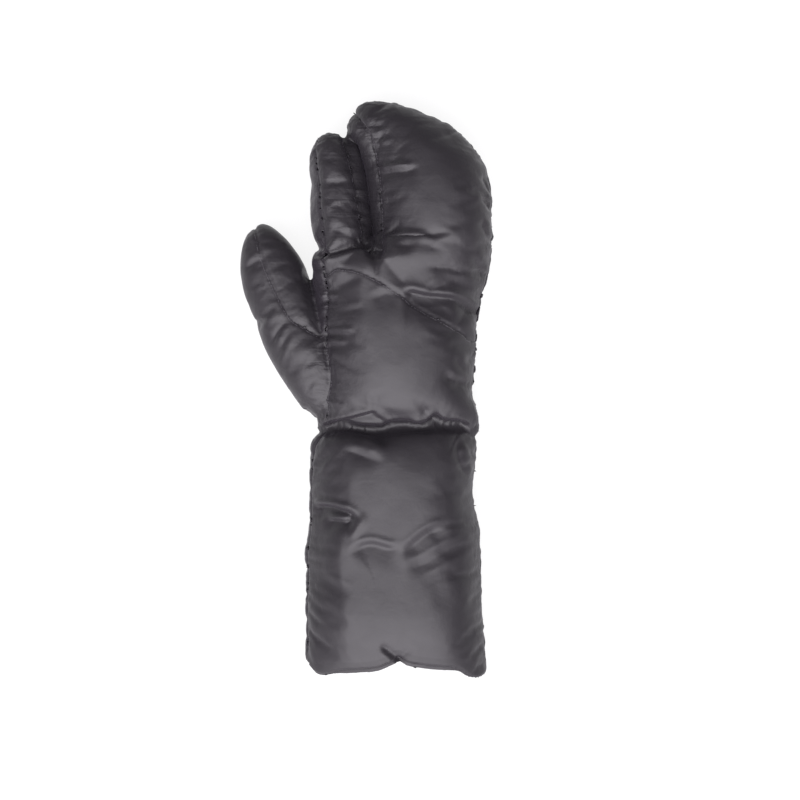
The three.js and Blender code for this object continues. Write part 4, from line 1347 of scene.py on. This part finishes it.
@dataclass
class Assembly:
    """Sewn panels that are built and dressed together."""

    panels: tuple[tuple[Panel, NylonTaffeta], ...]
    fill: float = 0.7

    def build(self, skin: Skin, inner: np.ndarray) -> list[bpy.types.Object]:
        """Cuts the panels out of the skin and closes each with its rim and its inner face.

        Args:
            skin: The finished skin.
            inner: For each point of the skin, the point behind it on the wall's inner face.

        Returns:
            The panels' objects.
        """
        pieces = []
        normals = vertex_normals(skin.points, skin.faces)
        for panel, finish in self.panels:
            faces = skin.faces[skin.panel == panel.value]
            numbers, local = np.unique(faces[faces >= 0], return_inverse=True)
            own = np.full(faces.shape, -1)
            own[faces >= 0] = local
            edges = face_edges(own)
            low, high = edges.min(axis=1), edges.max(axis=1)
            _, first, count = np.unique(low * len(numbers) + high, return_index=True, return_counts=True)
            rim = edges[first[count == 1]]
            behind = len(numbers)
            back = np.where(own < 0, -1, own + behind)
            back = np.where((own[:, 3] < 0)[:, None], back[:, [2, 1, 0, 3]], back[:, ::-1])
            side = np.stack([rim[:, 1], rim[:, 0], rim[:, 0] + behind, rim[:, 1] + behind], axis=1)
            points = np.vstack([skin.points[numbers], inner[numbers]])
            piece = make_object(f"{panel.name}_cloth", (points + MIDDLE) * MILLIMETRE, np.vstack([own, back, side]))
            shade_as_skin(piece, own, normals[numbers])
            lay_cloth_map(piece, points)
            mark_streaks(piece, skin.streaks[numbers])
            self.dress(piece, panel, finish)
            pieces.append(piece)
        return pieces

    def dress(self, piece: bpy.types.Object, panel: Panel, finish: NylonTaffeta) -> None:
        """Gives a panel its finish and says what it stands for in the frame."""
        known = bpy.data.materials.get(finish.name)
        piece.data.materials.append(known or finish.make())
        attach(piece, "root")
        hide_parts(panel.name)
        LOG.info("%s: %d faces", piece.name, len(piece.data.polygons))


def shade_as_skin(piece: bpy.types.Object, outer: np.ndarray, normals: np.ndarray) -> None:
    """Shades a panel's outer face with the whole skin's normals, so that the shading runs on across its seams.

    The rim and the inner face keep their own normals, and sharp edges between the two.

    Args:
        piece: The panel, whose first faces are the outer ones.
        outer: The outer faces.
        normals: The skin's normals at the outer points.
    """
    mesh = piece.data
    behind = len(normals)
    ends = np.empty(2 * len(mesh.edges), np.int32)
    mesh.edges.foreach_get("vertices", ends)
    ends = ends.reshape(-1, 2)
    inner = ends >= behind
    on_rim = np.zeros(len(mesh.vertices), bool)
    on_rim[ends[inner[:, 0] != inner[:, 1]]] = True
    sharp = on_rim[ends].all(axis=1) & (inner[:, 0] == inner[:, 1])
    mesh.attributes.new("sharp_edge", "BOOLEAN", "EDGE").data.foreach_set("value", sharp)
    custom = np.zeros((len(mesh.loops), 3))
    custom[: int((outer >= 0).sum())] = normals[outer[outer >= 0]]
    mesh.normals_split_custom_set(custom)


def mark_streaks(piece: bpy.types.Object, streaks: np.ndarray) -> None:
    """Gives a panel's outer points their share of the finest creases, for the finish to read."""
    values = np.zeros(len(piece.data.vertices), np.float32)
    values[: len(streaks)] = streaks
    piece.data.attributes.new("streaks", "FLOAT", "POINT").data.foreach_set("value", values)


def lay_cloth_map(piece: bpy.types.Object, points: np.ndarray) -> None:
    """Gives a panel its UV map, in centimetres of cloth.

    v is the place along the mitt, and u the place across it, less the height on the left of the middle and plus the
    drop of the height on its right, so that it runs on down the sides as the cloth does.

    Args:
        piece: The panel.
        points: Its points in the hand's frame, in millimetres.
    """
    layer = piece.data.uv_layers.new(name="cloth")
    loops = np.empty(len(piece.data.loops), np.int32)
    piece.data.loops.foreach_get("vertex_index", loops)
    x, y, z = points.T
    middle = np.interp(y, [-180.0, 0.0, 110.0, 220.0], [0.0, 0.0, 5.0, 0.0])
    side = np.clip((x - middle) / 40.0, -1.0, 1.0)
    across = x - middle - side * z
    layer.data.foreach_set("uv", (np.stack([across, y], axis=1)[loops] / 10.0).ravel())


@dataclass(frozen=True)
class SewingThread:
    """Corespun polyester thread: two plies twisted together, dull, a shade lighter than the shell.

    To the eye it is a row of small matt beads that catch a little light beside the seam.
    """

    name: str = "corespun_polyester_thread"
    colour: str = "#3a363c"
    second_colour: str = "#2a272c"
    twist_mm: float = 0.5

    def make(self) -> bpy.types.Material:
        """The material, with the twist of its plies as slanting bands in shade and bump."""
        material = bpy.data.materials.new(self.name)
        material.use_nodes = True
        tree = material.node_tree
        tree.nodes.clear()
        place = add_node(tree, "ShaderNodeTexCoord").outputs["Object"]
        twist = add_node(
            tree,
            "ShaderNodeTexWave",
            {"wave_type": "BANDS", "bands_direction": "DIAGONAL", "Scale": 1000 * math.pi / (10 * self.twist_mm)},
            Vector=place,
        )
        shade = add_node(
            tree,
            "ShaderNodeMix",
            {"data_type": "RGBA", 6: linear(self.colour), 7: linear(self.second_colour)},
            i0=twist.outputs["Fac"],
        )
        plied = add_node(
            tree, "ShaderNodeBump", {"Strength": 0.5, "Distance": 0.0001}, Height=twist.outputs["Fac"]
        )
        shader = add_node(
            tree,
            "ShaderNodeBsdfPrincipled",
            {"Roughness": 0.6, "IOR": 1.4, "Sheen Weight": 0.1},
            Base_Color=shade.outputs[2],
            Normal=plied.outputs["Normal"],
        )
        add_node(tree, "ShaderNodeOutputMaterial", Surface=shader.outputs["BSDF"])
        return material


@dataclass
class Stitching:
    """Rows of stitches beside the seams that the photo shows as topstitched.

    Each row lies on one panel beside its seam with another. A stitch is left out where the seam turns too sharply, or
    where the skin is off the place meant for it, lies at another height or slopes another way. Sizes are in
    millimetres, and chord is how many points ahead and behind give a stitch its direction.
    """

    rows: tuple[tuple[str, Panel, Panel], ...] = (
        ("hand_thumb_stitches", Panel.hand_back, Panel.thumb_outer),
        ("knuckle_stitches", Panel.hand_back, Panel.finger_back),
        ("thumb_stitches", Panel.thumb_outer, Panel.thumb_inner),
        ("finger_gusset_stitches", Panel.finger_back, Panel.finger_gusset),
    )
    length: float = 1.6
    width: float = 0.34
    off_seam: float = 1.4
    raised: float = 0.05
    chord: int = 3
    least_chord: float = 1.5
    most_lift: float = 0.8
    most_slope: float = 0.25
    least_likeness: float = 0.8
    most_off: float = 1.2
    thread: SewingThread = SewingThread()

    def build(self, skin: Skin) -> list[bpy.types.Object]:
        """Lays a row of stitches beside each seam.

        Args:
            skin: The finished skin.

        Returns:
            One object for each row.
        """
        normals = vertex_normals(skin.points, skin.faces)
        material = self.thread.make()
        pieces = []
        for name, on, other in self.rows:
            centre, along, up = self.places(skin, normals, on, other)
            if len(centre) == 0:
                continue
            piece = make_object(name, *self.mesh(centre, along, up))
            piece.data.materials.append(material)
            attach(piece, "root")
            pieces.append(piece)
            LOG.info("%s: %d stitches", name, len(centre))
        return pieces

    def places(
        self, skin: Skin, normals: np.ndarray, on: Panel, other: Panel
    ) -> tuple[np.ndarray, np.ndarray, np.ndarray]:
        """Where the stitches of one row lie.

        The seam's edges are those that one panel's face runs along one way and the other's the other way. At each
        point that the division made on them, a stitch lies off_seam beside the seam, at the height of the nearest skin
        point there.

        Args:
            skin: The finished skin.
            normals: Its normals.
            on: The panel that the row lies on.
            other: The panel beyond the seam.

        Returns:
            The stitches' middles, their directions and the normals there.
        """
        first, second = (face_edges(skin.faces[skin.panel == p.value]) for p in (on, other))
        size = len(skin.points)
        shared = np.isin(first[:, 0] * size + first[:, 1], second[:, 1] * size + second[:, 0])
        edges = first[shared]
        edges = edges[np.isin(edges[:, 1], edges[:, 0]) & (edges[:, 0] >= skin.corners)]
        following, before = np.arange(size), np.arange(size)
        following[first[shared, 0]] = first[shared, 1]
        before[first[shared, 1]] = first[shared, 0]
        middle = edges[before[edges[:, 0]] != edges[:, 0], 0]
        if len(middle) == 0:
            return np.empty((0, 3)), np.empty((0, 3)), np.empty((0, 3))
        ahead, behind = middle, middle
        for _ in range(self.chord):
            ahead, behind = following[ahead], before[behind]
        along = skin.points[ahead] - skin.points[behind]
        chord = np.linalg.norm(along, axis=1)
        middle, along = middle[chord > self.least_chord], along[chord > self.least_chord]
        along /= np.linalg.norm(along, axis=1, keepdims=True)
        up = normals[middle]
        inward = np.cross(up, along)
        centre = skin.points[middle] + self.off_seam * inward
        faces = skin.faces[skin.panel == on.value]
        own = np.unique(faces[faces >= 0])
        near = own[((skin.points[own] ** 2).sum(axis=1) - 2.0 * centre @ skin.points[own].T).argmin(axis=1)]
        lift = ((skin.points[near] - centre) * normals[near]).sum(axis=1)
        level = np.abs(lift) < self.most_lift
        level &= np.abs((along * normals[near]).sum(axis=1)) < self.most_slope
        level &= (up * normals[near]).sum(axis=1) > self.least_likeness
        level &= np.linalg.norm(skin.points[near] - centre, axis=1) < self.most_off
        centre = centre + (lift + self.raised)[:, None] * normals[near]
        along = along - (along * normals[near]).sum(axis=1, keepdims=True) * normals[near]
        along /= np.maximum(np.linalg.norm(along, axis=1, keepdims=True), 1e-9)
        return centre[level], along[level], normals[near][level]

    def mesh(self, centre: np.ndarray, along: np.ndarray, up: np.ndarray) -> tuple[np.ndarray, np.ndarray]:
        """The stitches' surface: each a spindle of 5 rings of 6 points, its radius as sqrt(1 - t^2) of its half width.

        Args:
            centre: The stitches' middles, in the hand's frame.
            along: Their directions.
            up: The skin's normals there.

        Returns:
            Points in the row frame, in metres, and faces.
        """
        up = up - (up * along).sum(axis=1, keepdims=True) * along
        up /= np.maximum(np.linalg.norm(up, axis=1, keepdims=True), 1e-9)
        side = np.cross(along, up)
        steps = np.array([-0.96, -0.6, 0.0, 0.6, 0.96])
        radius = self.width / 2 * np.sqrt(1.0 - steps**2)
        angle = 2 * math.pi * np.arange(6) / 6
        ring = (
            (self.length / 2 * steps)[None, :, None, None] * along[:, None, None, :]
            + (radius[:, None] * np.cos(angle))[None, :, :, None] * side[:, None, None, :]
            + (radius[:, None] * np.sin(angle))[None, :, :, None] * up[:, None, None, :]
        )
        points = (centre[:, None, None, :] + ring).reshape(len(centre), 30, 3)
        tips = np.stack([centre - self.length / 2 * along, centre + self.length / 2 * along], axis=1)
        points = np.concatenate([points, tips], axis=1)
        k, n = np.arange(6), (np.arange(6) + 1) % 6
        none = np.full(6, -1)
        quads = [np.stack([6 * r + k, 6 * r + n, 6 * r + 6 + n, 6 * r + 6 + k], axis=1) for r in range(4)]
        caps = [
            np.stack([n, k, np.full(6, 30), none], axis=1),
            np.stack([24 + k, 24 + n, np.full(6, 31), none], axis=1),
        ]
        one = np.vstack([*quads, *caps])
        faces = np.where(one[None] < 0, -1, one[None] + 32 * np.arange(len(centre))[:, None, None])
        return (points.reshape(-1, 3) + MIDDLE) * MILLIMETRE, faces.reshape(-1, 4)


@dataclass
class Gauntlet(Assembly):
    """The gauntlet: its hem, its back and its underside."""

    panels: tuple[tuple[Panel, NylonTaffeta], ...] = (
        (Panel.cuff_hem, HEM),
        (Panel.gauntlet_back, SHELL),
        (Panel.gauntlet_palm, UNDERSIDE),
    )


@dataclass
class Hand(Assembly):
    """The back and the palm of the hand."""

    panels: tuple[tuple[Panel, NylonTaffeta], ...] = ((Panel.hand_back, SHELL), (Panel.palm, UNDERSIDE))


@dataclass
class Fingers(Assembly):
    """The index finger and the pouch: their forked back, their underside and the side wall between them."""

    panels: tuple[tuple[Panel, NylonTaffeta], ...] = (
        (Panel.finger_back, SHELL),
        (Panel.index_palm, UNDERSIDE),
        (Panel.finger_gusset, SHELL),
    )


@dataclass
class Thumb(Assembly):
    """The thumb's outer and inner panels."""

    panels: tuple[tuple[Panel, NylonTaffeta], ...] = ((Panel.thumb_outer, SHELL), (Panel.thumb_inner, SHELL))


# The studio


@dataclass
class Studio:
    """A pale floor, one large soft lamp, a surrounding that is brighter on the lamp's side, and a camera overhead."""

    floor_size: float = 8.0
    floor_lines: int = 25
    floor_drop: float = 0.0002
    floor_colour: str = "#525252"
    lamp_size: float = 3.0
    lamp_height: float = 1.5
    lamp_shift: tuple[float, float] = (-0.15, -1.0)
    lamp_watts: float = 88.0
    light_colour: tuple[float, float, float] = (1.0, 0.975, 1.015)
    bright_side: tuple[float, float, float] = (-0.12, -0.62, 0.775)
    dim: float = 0.2
    bright: float = 4.9
    floor_glow: float = 0.85
    lens: float = 90.0
    sensor: float = 36.0
    aim: tuple[float, float] = (0.0226, -0.0087)
    view_width: float = 0.5416
    view_at_height: float = 0.03

    def build(self) -> None:
        """Builds the floor, the lights and the camera."""
        scene = bpy.context.scene
        scene.view_settings.view_transform = "Standard"
        scene.view_settings.look = "None"
        self.build_floor()
        self.build_lights()
        self.build_camera()

    def build_floor(self) -> None:
        """A matt pale sheet, lit a little from behind, under everything: an even grid of flat faces."""
        ticks = np.linspace(-self.floor_size / 2, self.floor_size / 2, self.floor_lines)
        x, y = np.meshgrid(ticks, ticks, indexing="ij")
        points = np.stack([x.ravel(), y.ravel(), np.full(x.size, -self.floor_drop)], axis=1)
        number = np.arange(x.size).reshape(x.shape)
        corners = (number[:-1, :-1], number[1:, :-1], number[1:, 1:], number[:-1, 1:])
        floor = make_object("floor", points, np.stack([c.ravel() for c in corners], axis=1))
        material = bpy.data.materials.new("backlit_matt_acrylic")
        material.use_nodes = True
        shader = material.node_tree.nodes["Principled BSDF"]
        shader.inputs["Base Color"].default_value = linear(self.floor_colour)
        shader.inputs["Roughness"].default_value = 0.9
        shader.inputs["Specular IOR Level"].default_value = 0.0
        shader.inputs["Emission Color"].default_value = (1.0, 1.0, 1.0, 1.0)
        shader.inputs["Emission Strength"].default_value = self.floor_glow
        floor.data.materials.append(material)

    def build_lights(self) -> None:
        """A square soft lamp, and a surrounding whose light rises smoothly towards the bright side."""
        lamp = bpy.data.lights.new("softbox", "AREA")
        lamp.shape = "SQUARE"
        lamp.size = self.lamp_size
        lamp.energy = self.lamp_watts
        lamp.color = self.light_colour
        item = bpy.data.objects.new("softbox", lamp)
        item.location = (self.lamp_shift[0], self.lamp_shift[1], self.lamp_height)
        item.rotation_euler = (-item.location).to_track_quat("-Z", "Y").to_euler()
        bpy.context.scene.collection.objects.link(item)
        world = bpy.data.worlds.new("studio")
        world.use_nodes = True
        tree = world.node_tree
        background = tree.nodes["Background"]
        background.inputs["Color"].default_value = (*self.light_colour, 1.0)
        way = add_node(tree, "ShaderNodeTexCoord").outputs["Generated"]
        toward = add_node(tree, "ShaderNodeVectorMath", {"operation": "DOT_PRODUCT", 1: self.bright_side}, i0=way)
        strength = add_node(
            tree,
            "ShaderNodeMapRange",
            {"interpolation_type": "SMOOTHSTEP", "From Min": 0.25, "From Max": 1.0, "To Min": self.dim,
             "To Max": self.bright},
            Value=toward.outputs["Value"],
        )
        tree.links.new(strength.outputs["Result"], background.inputs["Strength"])
        bpy.context.scene.world = world

    def build_camera(self) -> None:
        """A camera straight above the mitt, as far off as its lens needs for the picture's width."""
        data = bpy.data.cameras.new("camera")
        data.lens = self.lens
        data.sensor_width = self.sensor
        camera = bpy.data.objects.new("camera", data)
        distance = self.view_width * self.lens / self.sensor
        camera.location = (self.aim[0], self.aim[1], self.view_at_height + distance)
        bpy.context.scene.collection.objects.link(camera)
        bpy.context.scene.camera = camera


def main() -> None:
    """Builds the mitt's parts in order and the studio around them."""
    logging.basicConfig(level=logging.INFO, format="%(name)s: %(message)s")
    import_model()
    skin = Skin()
    skin.shape()
    skin.blow_up()
    skin.refine()
    skin.relax()
    skin.close_gap()
    skin.pucker()
    skin.fold()
    inner = skin.behind()
    for assembly in (Gauntlet(), Hand(), Fingers(), Thumb()):
        assembly.build(skin, inner)
        LOG.info("%s is built", type(assembly).__name__)
    Stitching().build(skin)
    LOG.info("Stitching is built")
    Studio().build()


if __name__ == "__main__":
    main()
